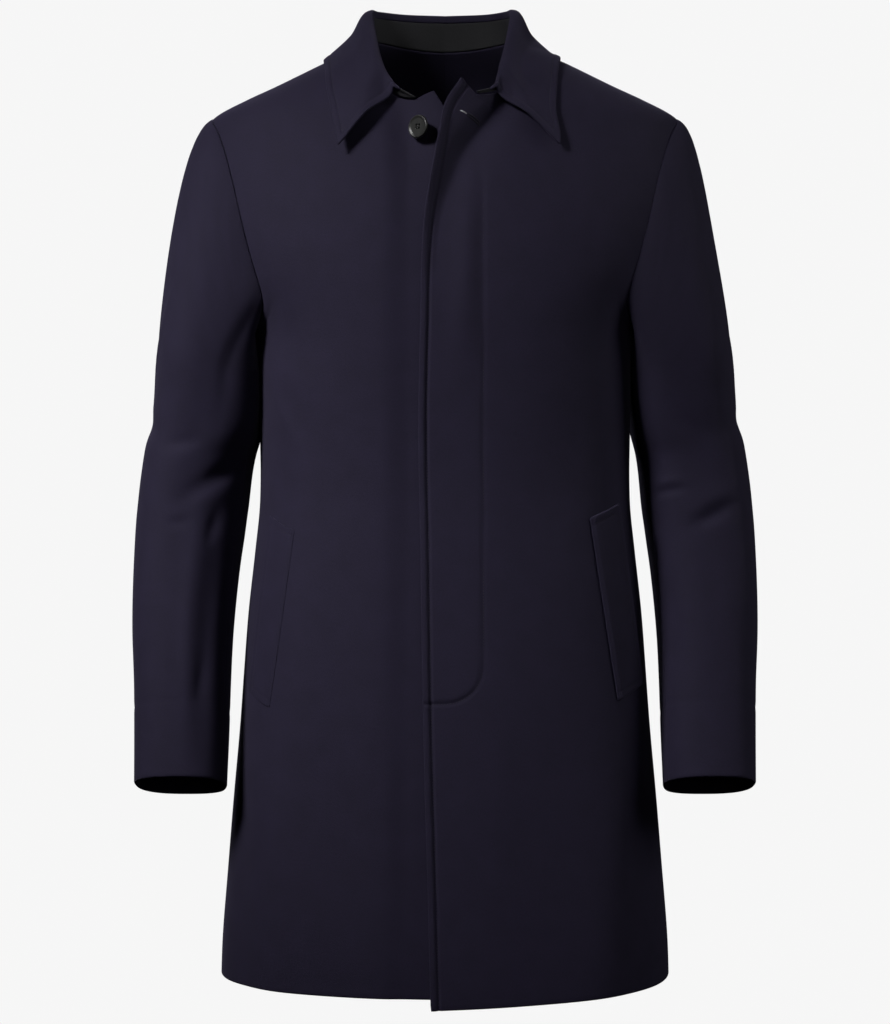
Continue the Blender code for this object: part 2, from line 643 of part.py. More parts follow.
def collar_lines(turns):
    """Neckline, fold and leaf edge of the collar at turns from -180 to 180 degrees, left half positive."""
    bend = np.degrees(np.abs(turns))
    angles, heights = neckline(np.abs(turns))
    lift = np.where(turns > 0.0, left_lift(angles, heights), right_lift(angles, heights))
    lift = np.where(bend < 100.0, lift, 0.0) + STAND_LIFT * smooth_step(80.0, 45.0, bend)
    neck = raised_point(angles, heights, lift)
    roll = follow_point(COLLAR, "turn", ("roll_x", "roll_y", "roll_z"), bend)
    corners = []
    for row in COLLAR:
        angle = angle_at_x(row.edge_x, row.edge_z, row.face)
        corners.append(LeafCorner(row.turn, *raised_point(angle, row.edge_z, np.array(row.lift))))
    edge = follow_point(corners, "turn", ("x", "y", "z"), bend)
    right = np.where(turns < 0.0, smooth_step(70.0, 20.0, bend), 0.0)
    edge = edge + right[..., None] * np.array([-RIGHT_POINT_IN, -RIGHT_POINT_LIFT, -0.003])
    flip = np.ones(neck.shape)
    flip[..., 0] = np.where(turns < 0.0, -1.0, 1.0)
    return neck * flip, roll * flip, edge * flip


def collar_grid():
    """Grids of the stand and the leaf, with columns round the neck from the right end to the left end."""
    half = COLLAR_END + (math.pi - COLLAR_END) * np.linspace(0.0, 1.0, COLLAR_COLUMNS // 2 + 1) ** 1.4
    turns = np.concatenate([-half, half[-2::-1]])
    neck, roll, edge = collar_lines(turns)
    rise = roll - neck
    up = unit(rise)
    away = unit(np.cross(up, np.gradient(roll, axis=0)))
    fall = edge - roll
    lengths = np.linalg.norm(rise, axis=-1)
    shares = np.linspace(0.0, 1.0, STAND_ROWS + 1)
    start = (STAND_GAP / lengths)[None, :, None]
    stand = neck[None] + rise[None] * (start + (1.0 - start) * shares[:, None, None])
    bend = np.degrees(np.abs(turns))
    open_end = smooth_step(95.0, 60.0, bend)[..., None]
    stand = stand - away[None] * STAND_LEAN * open_end[None] * shares[:, None, None]
    gap = SEAM_GAP * (1.5 + 2.0 * open_end)
    right_bulge = np.where(turns < 0.0, RIGHT_POINT_BULGE * smooth_step(70.0, 30.0, bend), 0.0)
    bulge = (follow(COLLAR, "turn", "bulge", bend) + right_bulge)[..., None]
    sections = np.stack(
        [
            roll + away * gap,
            roll + away * (gap + 0.25 * ROLL_WIDTH),
            roll - up * 0.20 * ROLL_WIDTH + away * 0.75 * ROLL_WIDTH,
            roll + fall * 0.5 + unit(up * 0.5 + away) * bulge,
            edge,
        ]
    )
    steps = np.linalg.norm(np.diff(sections, axis=0), axis=-1).mean(axis=1)
    keys = np.concatenate([[0.0], np.cumsum(steps)])
    at = np.concatenate([keys[:3], np.linspace(keys[2], keys[4], LEAF_ROWS - 1)[1:]])
    slopes = np.gradient(sections, keys, axis=0)
    leaf = []
    for place in at:
        low = min(int(np.searchsorted(keys, place, side="right")) - 1, len(keys) - 2)
        step = keys[low + 1] - keys[low]
        share = (place - keys[low]) / step
        leaf.append(
            hermite(sections[low], slopes[low] * step, sections[low + 1], slopes[low + 1] * step, share)
        )
    return stand, np.stack(leaf)


def clear_of_body(points, clearance):
    """Points moved straight out of the body where they would come closer to it than the clearance."""
    step = 0.0005
    axes = np.eye(3) * step

    def outside(place):
        power = follow(BODY, "height", "squareness", place[..., 2])
        half_width = follow(BODY, "height", "half_width", place[..., 2])
        front = follow(BODY, "height", "front", place[..., 2])
        back = follow(BODY, "height", "back", place[..., 2])
        depth = np.where(place[..., 1] <= 0.0, front, back)
        reach = np.abs(place[..., 0] / half_width) ** power + np.abs(place[..., 1] / depth) ** power
        return reach ** (1.0 / power) - 1.0

    for _ in range(4):
        slope = np.stack([outside(points + axis) - outside(points - axis) for axis in axes], -1)
        slope = slope / (2.0 * step)
        steepness = np.linalg.norm(slope, axis=-1)
        missing = np.maximum(clearance - outside(points) / steepness, 0.0)
        points = points + slope / steepness[..., None] * missing[..., None]
    return points


def add_collar():
    """Stand round the neck and the leaf that folds over it."""
    stand, leaf = collar_grid()
    leaf[3:] = clear_of_body(leaf[3:], LEAF_CLEARANCE)
    add_cloth("collar_stand", stand, True, CHARCOAL_CLOTH)
    add_cloth("collar_leaf", leaf, False, NAVY_WOOL)


def add_welts():
    """Pocket welts, made from the fronts' points moved out."""
    for welt in WELTS:
        down = np.linspace(0.0, 1.0, 9)[:, None]
        round_body = np.linspace(0.0, 1.0, 5)[None, :]
        across = welt.top_x + (welt.bottom_x - welt.top_x) * down + 0.0 * round_body
        heights = welt.top_z + (welt.bottom_z - welt.top_z) * down + welt.rise * round_body
        angles = angle_at_x(across, heights)
        step = 0.01
        ahead = body_point(angles + step, heights) - body_point(angles, heights)
        angles = angles - welt.width * round_body * step / np.linalg.norm(ahead, axis=-1)
        lift = left_lift(angles, heights) if welt.side == "left" else right_lift(angles, heights)
        lift = lift + WELT_SEAT + WELT_THICK
        points = raised_point(angles, heights, lift)
        if welt.side == "right":
            points = mirrored(points)
        add_cloth(f"pocket_welt_{welt.side}", points, welt.side == "left", NAVY_WOOL, WELT_THICK)


def add_button():
    """Four-hole button on its thread shank, standing on the right front."""
    across, height = BUTTON_PLACE
    angle = angle_at_x(-across, height)
    step = 0.0005

    def on_front(at_angle, at_height):
        return raised_point(at_angle, at_height, right_lift(at_angle, at_height))

    sideways = on_front(angle + step, height) - on_front(angle - step, height)
    upwards = on_front(angle, height + step) - on_front(angle, height - step)
    normal = mirrored(unit(np.cross(upwards, sideways)))
    seat = mirrored(on_front(angle, height)) + normal * 2.0 * SEAM_GAP

    profile = (
        (0.0, 0.0),
        (BUTTON_SHANK, 0.0),
        (BUTTON_SHANK, BUTTON_SHANK_LENGTH),
        (BUTTON_RADIUS * 0.80, BUTTON_SHANK_LENGTH),
        (BUTTON_RADIUS, BUTTON_SHANK_LENGTH + 0.45 * BUTTON_THICK),
        (BUTTON_RADIUS - 0.25 * BUTTON_RIM, BUTTON_SHANK_LENGTH + 0.85 * BUTTON_THICK),
        (BUTTON_RADIUS - 0.60 * BUTTON_RIM, BUTTON_SHANK_LENGTH + BUTTON_THICK),
        (BUTTON_RADIUS - BUTTON_RIM, BUTTON_SHANK_LENGTH + 0.92 * BUTTON_THICK),
        (BUTTON_RADIUS - 1.6 * BUTTON_RIM, BUTTON_SHANK_LENGTH + BUTTON_THICK - BUTTON_DISH),
        (0.0, BUTTON_SHANK_LENGTH + BUTTON_THICK - BUTTON_DISH),
    )
    mesh = bpy.data.meshes.new("button_neck")
    lathe = bmesh.new()
    corners = [lathe.verts.new((radius, 0.0, level)) for radius, level in profile]
    edges = [lathe.edges.new(pair) for pair in zip(corners[:-1], corners[1:])]
    bmesh.ops.spin(
        lathe,
        geom=corners + edges,
        cent=(0.0, 0.0, 0.0),
        axis=(0.0, 0.0, 1.0),
        angle=2.0 * math.pi,
        steps=BUTTON_SIDES,
    )
    bmesh.ops.remove_doubles(lathe, verts=lathe.verts, dist=0.00001)
    bmesh.ops.recalc_face_normals(lathe, faces=lathe.faces)
    lathe.to_mesh(mesh)
    lathe.free()
    item = bpy.data.objects.new("button_neck", mesh)
    coat.objects.link(item)
    item.data.materials.append(make_material("button_neck", HORN_PLASTIC))

    facing = Vector((-math.sin(BUTTON_TURN), -math.cos(BUTTON_TURN), math.tan(BUTTON_RISE))).normalized()
    side = Vector((0.0, 0.0, 1.0)).cross(facing).normalized()
    turned = Matrix((side, facing.cross(side), facing)).transposed().to_4x4()
    tilt = facing.angle(Vector(normal))
    foot = seat + normal * BUTTON_SHANK * math.sin(tilt)
    item.matrix_world = Matrix.Translation(Vector(foot)) @ turned
    for number in range(4):
        turn = math.pi / 4.0 + number * math.pi / 2.0
        hole = bmesh.new()
        bmesh.ops.create_cone(
            hole,
            cap_ends=True,
            segments=BUTTON_HOLE_SIDES,
            radius1=BUTTON_HOLE,
            radius2=BUTTON_HOLE,
            depth=BUTTON_THICK * 1.6,
        )
        hole_mesh = bpy.data.meshes.new(f"button_hole_{number}")
        hole.to_mesh(hole_mesh)
        hole.free()
        cutter = bpy.data.objects.new(f"button_hole_{number}", hole_mesh)
        cutters.objects.link(cutter)
        cutter.parent = item
        cutter.location = (
            BUTTON_HOLE_PITCH * math.cos(turn),
            BUTTON_HOLE_PITCH * math.sin(turn),
            BUTTON_SHANK_LENGTH + BUTTON_THICK,
        )
        cutter.hide_render = True
        cutter.display_type = "WIRE"
        cut = item.modifiers.new(f"hole_{number}", "BOOLEAN")
        cut.operation = "DIFFERENCE"
        cut.solver = "EXACT"
        cut.object = cutter


clear_scene()
coat = bpy.data.collections.new("wool_coat")
cutters = bpy.data.collections.new("cutters")
bpy.context.scene.collection.children.link(coat)
bpy.context.scene.collection.children.link(cutters)
add_body()
add_sleeves()
add_collar()
add_welts()
add_button()
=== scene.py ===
"""Looks of a navy single-breasted wool coat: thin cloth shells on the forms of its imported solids.

Metres, +Z up. The front faces -Y and the wearer's left is +X. Every panel is a surface worked out from
tables of sizes, pushed in and out by seams, stitched lines and creases, and closed into a thin shell.
"""

import logging
import math
from dataclasses import dataclass
from enum import Enum
from typing import Any, Iterable, Optional, Sequence, TypeVar, Union

import bpy
import numpy as np
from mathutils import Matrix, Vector
from numpy.typing import NDArray


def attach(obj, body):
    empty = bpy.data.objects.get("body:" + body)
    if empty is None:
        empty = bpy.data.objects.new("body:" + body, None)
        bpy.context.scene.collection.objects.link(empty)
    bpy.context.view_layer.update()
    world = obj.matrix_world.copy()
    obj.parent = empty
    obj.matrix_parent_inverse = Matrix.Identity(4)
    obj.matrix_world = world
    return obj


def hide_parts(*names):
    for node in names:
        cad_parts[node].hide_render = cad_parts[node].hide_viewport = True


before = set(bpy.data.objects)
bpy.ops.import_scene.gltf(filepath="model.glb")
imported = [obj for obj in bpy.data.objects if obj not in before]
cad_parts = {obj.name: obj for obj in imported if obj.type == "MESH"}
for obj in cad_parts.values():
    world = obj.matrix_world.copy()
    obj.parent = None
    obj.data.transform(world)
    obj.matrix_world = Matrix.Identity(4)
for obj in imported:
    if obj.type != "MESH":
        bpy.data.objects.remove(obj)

Array = NDArray[np.float64]
Faces = NDArray[np.int64]
Number = Union[float, Array]
Colour = tuple[float, float, float]
Place = tuple[float, float, float]
Piece = bpy.types.Object
Material = bpy.types.Material
Row = TypeVar("Row")

LOG = logging.getLogger("wool_coat")
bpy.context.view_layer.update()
BODY_NAME = "root"
UV_NAME = "cloth"
COLLAR_END = math.radians(20.0)
FLY_END = (-0.645, -0.575)
LINE_SAMPLES = 120
STITCH_GROOVE = 0.0013


class Side(Enum):
    """Side of the wearer, with the sign of its X."""

    LEFT = 1.0
    RIGHT = -1.0

    @property
    def word(self) -> str:
        """Name of the side in lower case."""
        return self.name.lower()

    def put(self, points: Array) -> Array:
        """Points of the left half, mirrored where the side is the right."""
        return points * np.array([self.value, 1.0, 1.0])


class Face(Enum):
    """Front or back of the body, with the sign of its angle."""

    FRONT = 1.0
    BACK = -1.0


class Hold(Enum):
    """How a sheet of cloth is held."""

    HUNG = "hung"
    FOLDED = "folded"
    LAID = "laid"


# Sums on whole arrays


def unit(vectors: Array) -> Array:
    """Vectors scaled to length one."""
    return vectors / np.maximum(np.linalg.norm(vectors, axis=-1, keepdims=True), 1e-12)


def smooth_step(start: float, end: float, at: Number) -> Array:
    """Rises as 3t^2 - 2t^3 from 0 at start to 1 at end."""
    share = np.clip((np.asarray(at) - start) / (end - start), 0.0, 1.0)
    return share**2 * (3.0 - 2.0 * share)


def bell(offset: Number, half_width: Number) -> Array:
    """Soft bump of height one: e to the minus square of offset over half width."""
    return np.exp(-((np.asarray(offset) / half_width) ** 2))


def hermite(start: Number, start_pull: Number, end: Number, end_pull: Number, share: Number) -> Array:
    """Cubic between two values with given pulls at its ends.

    Args:
        start: value at share 0.
        start_pull: slope there times the step.
        end: value at share 1.
        end_pull: slope there times the step.
        share: place between the two.

    Returns:
        The cubic's values.
    """
    rest = 1.0 - share
    first = (1.0 + 2.0 * share) * rest**2 * start + share * rest**2 * start_pull
    return first + share**2 * (3.0 - 2.0 * share) * end - share**2 * rest * end_pull


def lengths_along(points: Array, axis: int) -> Array:
    """Length walked along one axis of a grid of points, from 0 at its first line."""
    steps = np.linalg.norm(np.diff(points, axis=axis), axis=-1)
    return np.insert(np.cumsum(steps, axis=axis), 0, 0.0, axis=axis)


def interp_rows(at: Array, keys: Array, values: Array) -> Array:
    """Linear interpolation in every row at once.

    The rows are laid end to end on one line, two apart, with each row's keys scaled to run from 0 to 1.

    Args:
        at: wanted keys, rows by places.
        keys: rising keys, rows by samples.
        values: value at each key.

    Returns:
        One value for each wanted key.
    """
    span = keys[:, -1:] - keys[:, :1]
    shift = 2.0 * np.arange(len(keys))[:, None]
    line = (keys - keys[:, :1]) / span + shift
    wanted = np.clip((at - keys[:, :1]) / span, 0.0, 1.0) + shift
    return np.interp(wanted.ravel(), line.ravel(), values.ravel()).reshape(at.shape)


def graded(stops: Sequence[float], steps: Sequence[float]) -> Array:
    """Places from the first stop to the last, with its own even step between each two stops.

    Args:
        stops: ends of the stretches.
        steps: step on each stretch.

    Returns:
        The places.
    """
    parts = [
        np.linspace(low, high, max(2, round(abs(high - low) / step) + 1))[:-1]
        for low, high, step in zip(stops[:-1], stops[1:], steps)
    ]
    return np.concatenate(parts + [np.array([stops[-1]])])


def length_shares(points: Array) -> Array:
    """Length walked along a line of points, as shares of its whole length."""
    lengths = lengths_along(points, 0)
    return lengths / lengths[-1]


def box_size(turn: Number, power: Number) -> Array:
    """Size that makes a round section a rounded box: (|cos|^n + |sin|^n)^(-1/n)."""
    return (np.abs(np.cos(turn)) ** power + np.abs(np.sin(turn)) ** power) ** (-1.0 / power)


def table(kind: type[Row], *rows: Sequence[Any]) -> tuple[Row, ...]:
    """Rows of a table, each from its values in the order of the kind's fields."""
    return tuple(kind(*row) for row in rows)


class Curve:
    """Smooth curve through the rows of a table: cubics whose slopes are the rows' central differences."""

    def __init__(self, rows: Sequence[Any], key: str, *columns: str) -> None:
        """Keeps a key column and one or more value columns of the table.

        Args:
            rows: rows of the table, with rising keys.
            key: name of the key column.
            *columns: names of the value columns; several make vectors.
        """
        self.keys = np.array([getattr(row, key) for row in rows])
        self.values = np.array([[getattr(row, column) for column in columns] for row in rows])
        self.slopes = np.gradient(self.values, self.keys, axis=0)

    def at(self, places: Number) -> Array:
        """Values of the curve at the given keys.

        Args:
            places: the keys.

        Returns:
            One value or vector for each.
        """
        places = np.clip(places, self.keys[0], self.keys[-1])
        low = np.clip(np.searchsorted(self.keys, places) - 1, 0, len(self.keys) - 2)
        high = low + 1
        step = (self.keys[high] - self.keys[low])[..., None]
        share = (places - self.keys[low])[..., None] / step
        pulls = (self.slopes[low] * step, self.slopes[high] * step)
        values = hermite(self.values[low], pulls[0], self.values[high], pulls[1], share)
        return values if self.values.shape[1] > 1 else values[..., 0]

    def slope(self, places: Number) -> Array:
        """Slope of the curve at the given keys."""
        step = 0.002
        return (self.at(np.asarray(places) + step) - self.at(np.asarray(places) - step)) / (2.0 * step)


# Meshes


@dataclass
class Shell:
    """Thin closed shell on a grid of points, with round rims.

    The outer grid is pushed in along its normals to make the inner one, and along the border each outer
    point goes to its inner one on half an oval that bulges away from the panel, by half the wall or by
    the limit at that point, whichever is less.
    """

    name: str
    outer: Array
    inner: Array
    uv: Array
    limit: Array
    rim_steps: int = 5

    def border(self) -> Faces:
        """Indices of the grid's border, once round."""
        index = np.arange(self.outer[..., 0].size).reshape(self.outer.shape[:2])
        return np.concatenate([index[0, :-1], index[:-1, -1], index[-1, :0:-1], index[:0:-1, 0]])

    def rims(self, loop: Faces) -> Array:
        """Rings of points between the outer and the inner border.

        Args:
            loop: indices of the border.

        Returns:
            Points, rings by places round the border.
        """
        outer = self.outer.reshape(-1, 3)[loop]
        inner = self.inner.reshape(-1, 3)[loop]
        half = (outer - inner) / 2.0
        push = unit(np.cross(np.roll(outer, -1, axis=0) - np.roll(outer, 1, axis=0), half))
        push[0] = unit(self.outer[0, 0] - self.outer[1, 1])
        if np.dot(push[len(push) // 2], self.outer[-1, -1] - self.outer[-2, -2]) < 0.0:
            push[1:] = -push[1:]
        reach = np.minimum(np.linalg.norm(half, axis=-1), self.limit.ravel()[loop])[:, None]
        turns = np.linspace(0.0, math.pi, self.rim_steps + 2)[1:-1, None, None]
        return (outer + inner) / 2.0 + half * np.cos(turns) + push * reach * np.sin(turns)

    def faces(self, loop: Faces) -> Faces:
        """Four-cornered faces of both grids and of the rims, pointing outwards.

        Args:
            loop: indices of the border.

        Returns:
            Indices of the corners of each face.
        """
        rows, columns = self.outer.shape[:2]
        count = rows * columns
        index = np.arange(count).reshape(rows, columns)
        corners = (index[:-1, :-1], index[:-1, 1:], index[1:, 1:], index[1:, :-1])
        grid = np.stack(corners, axis=-1).reshape(-1, 4)
        starts = 2 * count + len(loop) * np.arange(self.rim_steps)
        rings = [loop] + [start + np.arange(len(loop)) for start in starts] + [loop + count]
        rims = [
            np.stack([np.roll(first, -1), first, second, np.roll(second, -1)], axis=-1)
            for first, second in zip(rings[:-1], rings[1:])
        ]
        faces = np.concatenate([grid, grid[:, ::-1] + count, *rims])
        middle = (rows // 2, columns // 2)
        across = self.outer[middle[0], middle[1] + 1] - self.outer[middle]
        down = self.outer[middle[0] + 1, middle[1]] - self.outer[middle]
        outwards = np.dot(np.cross(across, down), self.outer[middle] - self.inner[middle]) > 0.0
        return faces if outwards else faces[:, ::-1]

    def make(self) -> Piece:
        """Object with the finished shell.

        Returns:
            The object.
        """
        loop = self.border()
        rims = self.rims(loop)
        points = np.concatenate([self.outer.reshape(-1, 3), self.inner.reshape(-1, 3), rims.reshape(-1, 3)])
        flat = self.uv.reshape(-1, 2)
        uv = np.concatenate([flat, flat, np.tile(flat[loop], (self.rim_steps, 1))])
        return add_mesh(self.name, points, self.faces(loop), uv)


def add_mesh(name: str, points: Array, faces: Faces, uv: Optional[Array] = None) -> Piece:
    """Smooth object from arrays.

    Args:
        name: name of the piece.
        points: corners, one row each.
        faces: indices of the corners of each face, all with the same count.
        uv: place of each corner on the flat cloth, in metres.

    Returns:
        The object, linked to the scene.
    """
    mesh = bpy.data.meshes.new(name)
    sides = faces.shape[1]
    mesh.vertices.add(len(points))
    mesh.vertices.foreach_set("co", points.astype(np.float32).ravel())
    mesh.loops.add(faces.size)
    mesh.loops.foreach_set("vertex_index", faces.astype(np.int32).ravel())
    mesh.polygons.add(len(faces))
    mesh.polygons.foreach_set("loop_start", np.arange(0, faces.size, sides, dtype=np.int32))
    mesh.polygons.foreach_set("use_smooth", np.ones(len(faces), dtype=bool))
    if uv is not None:
        layer = mesh.uv_layers.new(name=UV_NAME)
        layer.data.foreach_set("uv", uv[faces.ravel()].astype(np.float32).ravel())
    mesh.update(calc_edges=True)
    mesh.validate()
    piece = bpy.data.objects.new(name, mesh)
    bpy.context.scene.collection.objects.link(piece)
    return piece


def grid_normals(points: Array) -> Array:
    """Normals of a grid: the cross product of its two directions."""
    return unit(np.cross(np.gradient(points, axis=0), np.gradient(points, axis=1)))


def grid_uv(points: Array, start: Number = 0.0) -> Array:
    """Place of each grid point on the flat cloth: length along its row, mean length along its column."""
    down = lengths_along(points, 0).mean(axis=1, keepdims=True)
    return np.stack(np.broadcast_arrays(lengths_along(points, 1) + start, -down), axis=-1)


def ring_triangles(rings: Faces) -> Faces:
    """Triangles between rings of corners: each four-cornered face split in two.

    Args:
        rings: indices of the corners, rings by places round them.

    Returns:
        Indices of the three corners of each triangle.
    """
    ahead = np.roll(rings, -1, axis=1)
    quads = np.stack([rings[:-1], ahead[:-1], ahead[1:], rings[1:]], axis=-1).reshape(-1, 4)
    return np.concatenate([quads[:, [0, 1, 2]], quads[:, [0, 2, 3]]])


def joined(parts: Sequence[tuple[Array, Faces]]) -> tuple[Array, Faces]:
    """One set of points and faces from several.

    Args:
        parts: points and faces of each set.

    Returns:
        Points and faces of all.
    """
    firsts = np.cumsum([0] + [len(points) for points, _ in parts])
    faces = [faces + first for (_, faces), first in zip(parts, firsts)]
    return np.concatenate([points for points, _ in parts]), np.concatenate(faces)


# Form of the body


@dataclass(frozen=True)
class BodySection:
    """Level section of the body's outer face."""

    height: float
    half_width: float
    front: float
    back: float
    squareness: float


BODY_SECTIONS = table(
    BodySection,
    (-0.930, 0.2235, 0.1565, 0.1500, 2.30),
    (-0.865, 0.2220, 0.1550, 0.1490, 2.30),
    (-0.790, 0.2165, 0.1520, 0.1465, 2.32),
    (-0.715, 0.2105, 0.1490, 0.1430, 2.34),
    (-0.655, 0.2050, 0.1465, 0.1400, 2.36),
    (-0.595, 0.2002, 0.1435, 0.1355, 2.38),
    (-0.535, 0.1955, 0.1400, 0.1285, 2.40),
    (-0.475, 0.1890, 0.1368, 0.1195, 2.40),
    (-0.430, 0.1845, 0.1345, 0.1150, 2.40),
    (-0.400, 0.1838, 0.1340, 0.1130, 2.40),
    (-0.370, 0.1842, 0.1345, 0.1135, 2.40),
    (-0.320, 0.1856, 0.1365, 0.1190, 2.40),
    (-0.290, 0.1870, 0.1380, 0.1225, 2.40),
    (-0.266, 0.1895, 0.1390, 0.1255, 2.40),
    (-0.240, 0.1975, 0.1395, 0.1280, 2.38),
    (-0.205, 0.2165, 0.1385, 0.1300, 2.34),
    (-0.174, 0.2290, 0.1360, 0.1300, 2.30),
    (-0.144, 0.2375, 0.1320, 0.1280, 2.24),
    (-0.115, 0.2420, 0.1260, 0.1255, 2.18),
    (-0.090, 0.2420, 0.1190, 0.1215, 2.14),
    (-0.066, 0.2385, 0.1105, 0.1155, 2.10),
    (-0.045, 0.2310, 0.1018, 0.1085, 2.06),
    (-0.027, 0.1985, 0.0938, 0.1015, 2.03),
    (-0.015, 0.1725, 0.0880, 0.0960, 2.02),
    (-0.003, 0.1480, 0.0812, 0.0890, 2.00),
    (0.009, 0.1235, 0.0735, 0.0800, 2.00),
    (0.020, 0.1000, 0.0650, 0.0705, 2.00),
    (0.032, 0.0800, 0.0560, 0.0600, 2.00),
    (0.060, 0.0600, 0.0400, 0.0430, 2.00),
)


@dataclass
class BodyForm:
    """Smooth form of the body's left half, with its armhole and neckline.

    A level section is a rounded box: |x / width|^n + |y / depth|^n = 1. The angle is 0 at the side,
    a quarter turn in the middle of the front and minus a quarter turn in the middle of the back.
    """

    shoulder_tip: float = -0.0445
    underarm: float = -0.266
    armhole_widest: float = -0.200
    armhole_front: float = 0.0850
    armhole_back: float = 0.0790
    armhole_round_above: float = 2.0
    armhole_round_below: float = 2.5
    neck_half_width: float = 0.080
    neck_front: float = 0.0835
    neck_back: float = 0.0760
    neck_centre: float = -0.016
    neck_square_front: float = 3.2
    neck_square_back: float = 2.0
    sections: Sequence[BodySection] = BODY_SECTIONS

    def __post_init__(self) -> None:
        """Makes the curves of the sections."""
        self.half_width = Curve(self.sections, "height", "half_width")
        self.front = Curve(self.sections, "height", "front")
        self.back = Curve(self.sections, "height", "back")
        self.squareness = Curve(self.sections, "height", "squareness")

    def point(self, angle: Number, height: Number) -> Array:
        """Point of the form at an angle and a height.

        Args:
            angle: angle round the body.
            height: height of the place.

        Returns:
            Points.
        """
        power = self.squareness.at(height)
        size = box_size(angle, power)
        depth = self.depth(np.sin(angle) >= 0.0, height)
        across = self.half_width.at(height) * np.cos(angle) * size
        return np.stack([across, -depth * np.sin(angle) * size, height + 0.0 * across], axis=-1)

    def normal(self, angle: Number, height: Number) -> Array:
        """Direction out of the form: the cross product of its upward and its sideways step.

        Args:
            angle: angle round the body.
            height: height of the place.

        Returns:
            Directions of length one.
        """
        step = 0.0005
        across = self.point(angle + step, height) - self.point(angle - step, height)
        up = self.point(angle, height + step) - self.point(angle, height - step)
        return unit(np.cross(up, across))

    def raised(self, angle: Number, height: Number, lift: Number) -> Array:
        """Point that stands off the form by the lift."""
        return self.point(angle, height) + self.normal(angle, height) * np.asarray(lift)[..., None]

    def depth(self, in_front: Number, height: Number) -> Array:
        """Depth of a section, to its front or its back."""
        return np.where(in_front, self.front.at(height), self.back.at(height))

    def rest(self, share: Array, height: Number) -> Array:
        """Other share of an outline's point, from |x|^n + |y|^n = 1: (1 - |share|^n)^(1/n)."""
        power = self.squareness.at(height)
        return (1.0 - np.abs(share) ** power) ** (1.0 / power)

    def angle_at_x(self, across: Number, height: Number, face: Face = Face.FRONT) -> Array:
        """Angle of the point of a face at a distance from the middle."""
        share = np.clip(across / self.half_width.at(height), -1.0, 1.0)
        return face.value * np.arctan2(self.rest(share, height), share)

    def angle_at_y(self, depth: Number, height: Number) -> Array:
        """Angle of the point at a depth, negative in front."""
        share = np.clip(np.abs(depth) / self.depth(np.asarray(depth) <= 0.0, height), 0.0, 1.0)
        return -np.sign(depth) * np.arctan2(share, self.rest(share, height))

    def width_at(self, depth: Number, height: Number) -> Array:
        """Distance from the middle to the form's side at a depth."""
        return self.point(self.angle_at_y(depth, height), height)[..., 0]

    def armhole(self, turn: Array) -> tuple[Array, Array]:
        """Angle and height of the armhole: turn 0 at the shoulder tip, a quarter in front, a half below.

        Args:
            turn: places round it.

        Returns:
            Angles and heights on the form.
        """
        power = np.where(np.cos(turn) >= 0.0, self.armhole_round_above, self.armhole_round_below)
        size = box_size(turn, power)
        above = self.shoulder_tip - self.armhole_widest
        reach = np.where(np.cos(turn) >= 0.0, above, self.armhole_widest - self.underarm)
        width = np.where(np.sin(turn) >= 0.0, self.armhole_front, self.armhole_back)
        height = self.armhole_widest + reach * np.cos(turn) * size
        return self.angle_at_y(-width * np.sin(turn) * size, height), height

    def neckline(self, turn: Array) -> tuple[Array, Array]:
        """Angle and height of the neckline: an oval seen from above, dropped onto the form by halving.

        Args:
            turn: 0 in the middle of the front, half a turn at the back.

        Returns:
            Angles and heights on the form.
        """
        power = np.where(np.cos(turn) >= 0.0, self.neck_square_front, self.neck_square_back)
        size = box_size(turn, power)
        across = self.neck_half_width * np.sin(turn) * size
        reach = np.where(np.cos(turn) >= 0.0, self.neck_front, self.neck_back)
        depth = self.neck_centre - reach * np.cos(turn) * size
        low = np.full(np.shape(turn), -0.10)
        high = np.full(np.shape(turn), 0.059)
        for _ in range(40):
            middle = 0.5 * (low + high)
            inside = np.abs(across) < self.width_at(depth, middle)
            inside = inside & (np.abs(depth) < self.depth(depth <= 0.0, middle))
            low = np.where(inside, middle, low)
            high = np.where(inside, high, middle)
        return self.angle_at_y(depth, low), low

    def neck_point_turn(self) -> float:
        """Turn at which the neckline meets the shoulder seam."""
        return math.acos(self.neck_centre / self.neck_back)

    def outside(self, place: Array) -> Array:
        """How far a place is outside the form, as a share of its size there.

        Args:
            place: the points.

        Returns:
            Shares, negative inside.
        """
        across, back, height = np.moveaxis(place, -1, 0)
        power = self.squareness.at(height)
        size = np.abs(across / self.half_width.at(height)) ** power
        size = size + np.abs(back / self.depth(back <= 0.0, height)) ** power
        return size ** (1.0 / power) - 1.0

    def slope(self, points: Array) -> Array:
        """Direction straight out of the form, as long as the share outside grows in a metre.

        Args:
            points: the points.

        Returns:
            Directions.
        """
        step = 0.0005
        axes = np.eye(3) * step
        rises = [self.outside(points + axis) - self.outside(points - axis) for axis in axes]
        return np.stack(rises, axis=-1) / (2.0 * step)

    def clear(self, points: Array, clearance: float) -> Array:
        """Points moved straight out where they would come closer to the form than the clearance.

        Args:
            points: the points.
            clearance: least distance.

        Returns:
            The moved points.
        """
        for _ in range(4):
            slope = self.slope(points)
            steepness = np.linalg.norm(slope, axis=-1)
            missing = np.maximum(clearance - self.outside(points) / steepness, 0.0)
            points = points + slope / steepness[..., None] * missing[..., None]
        return points


FORM = BodyForm()


# Materials


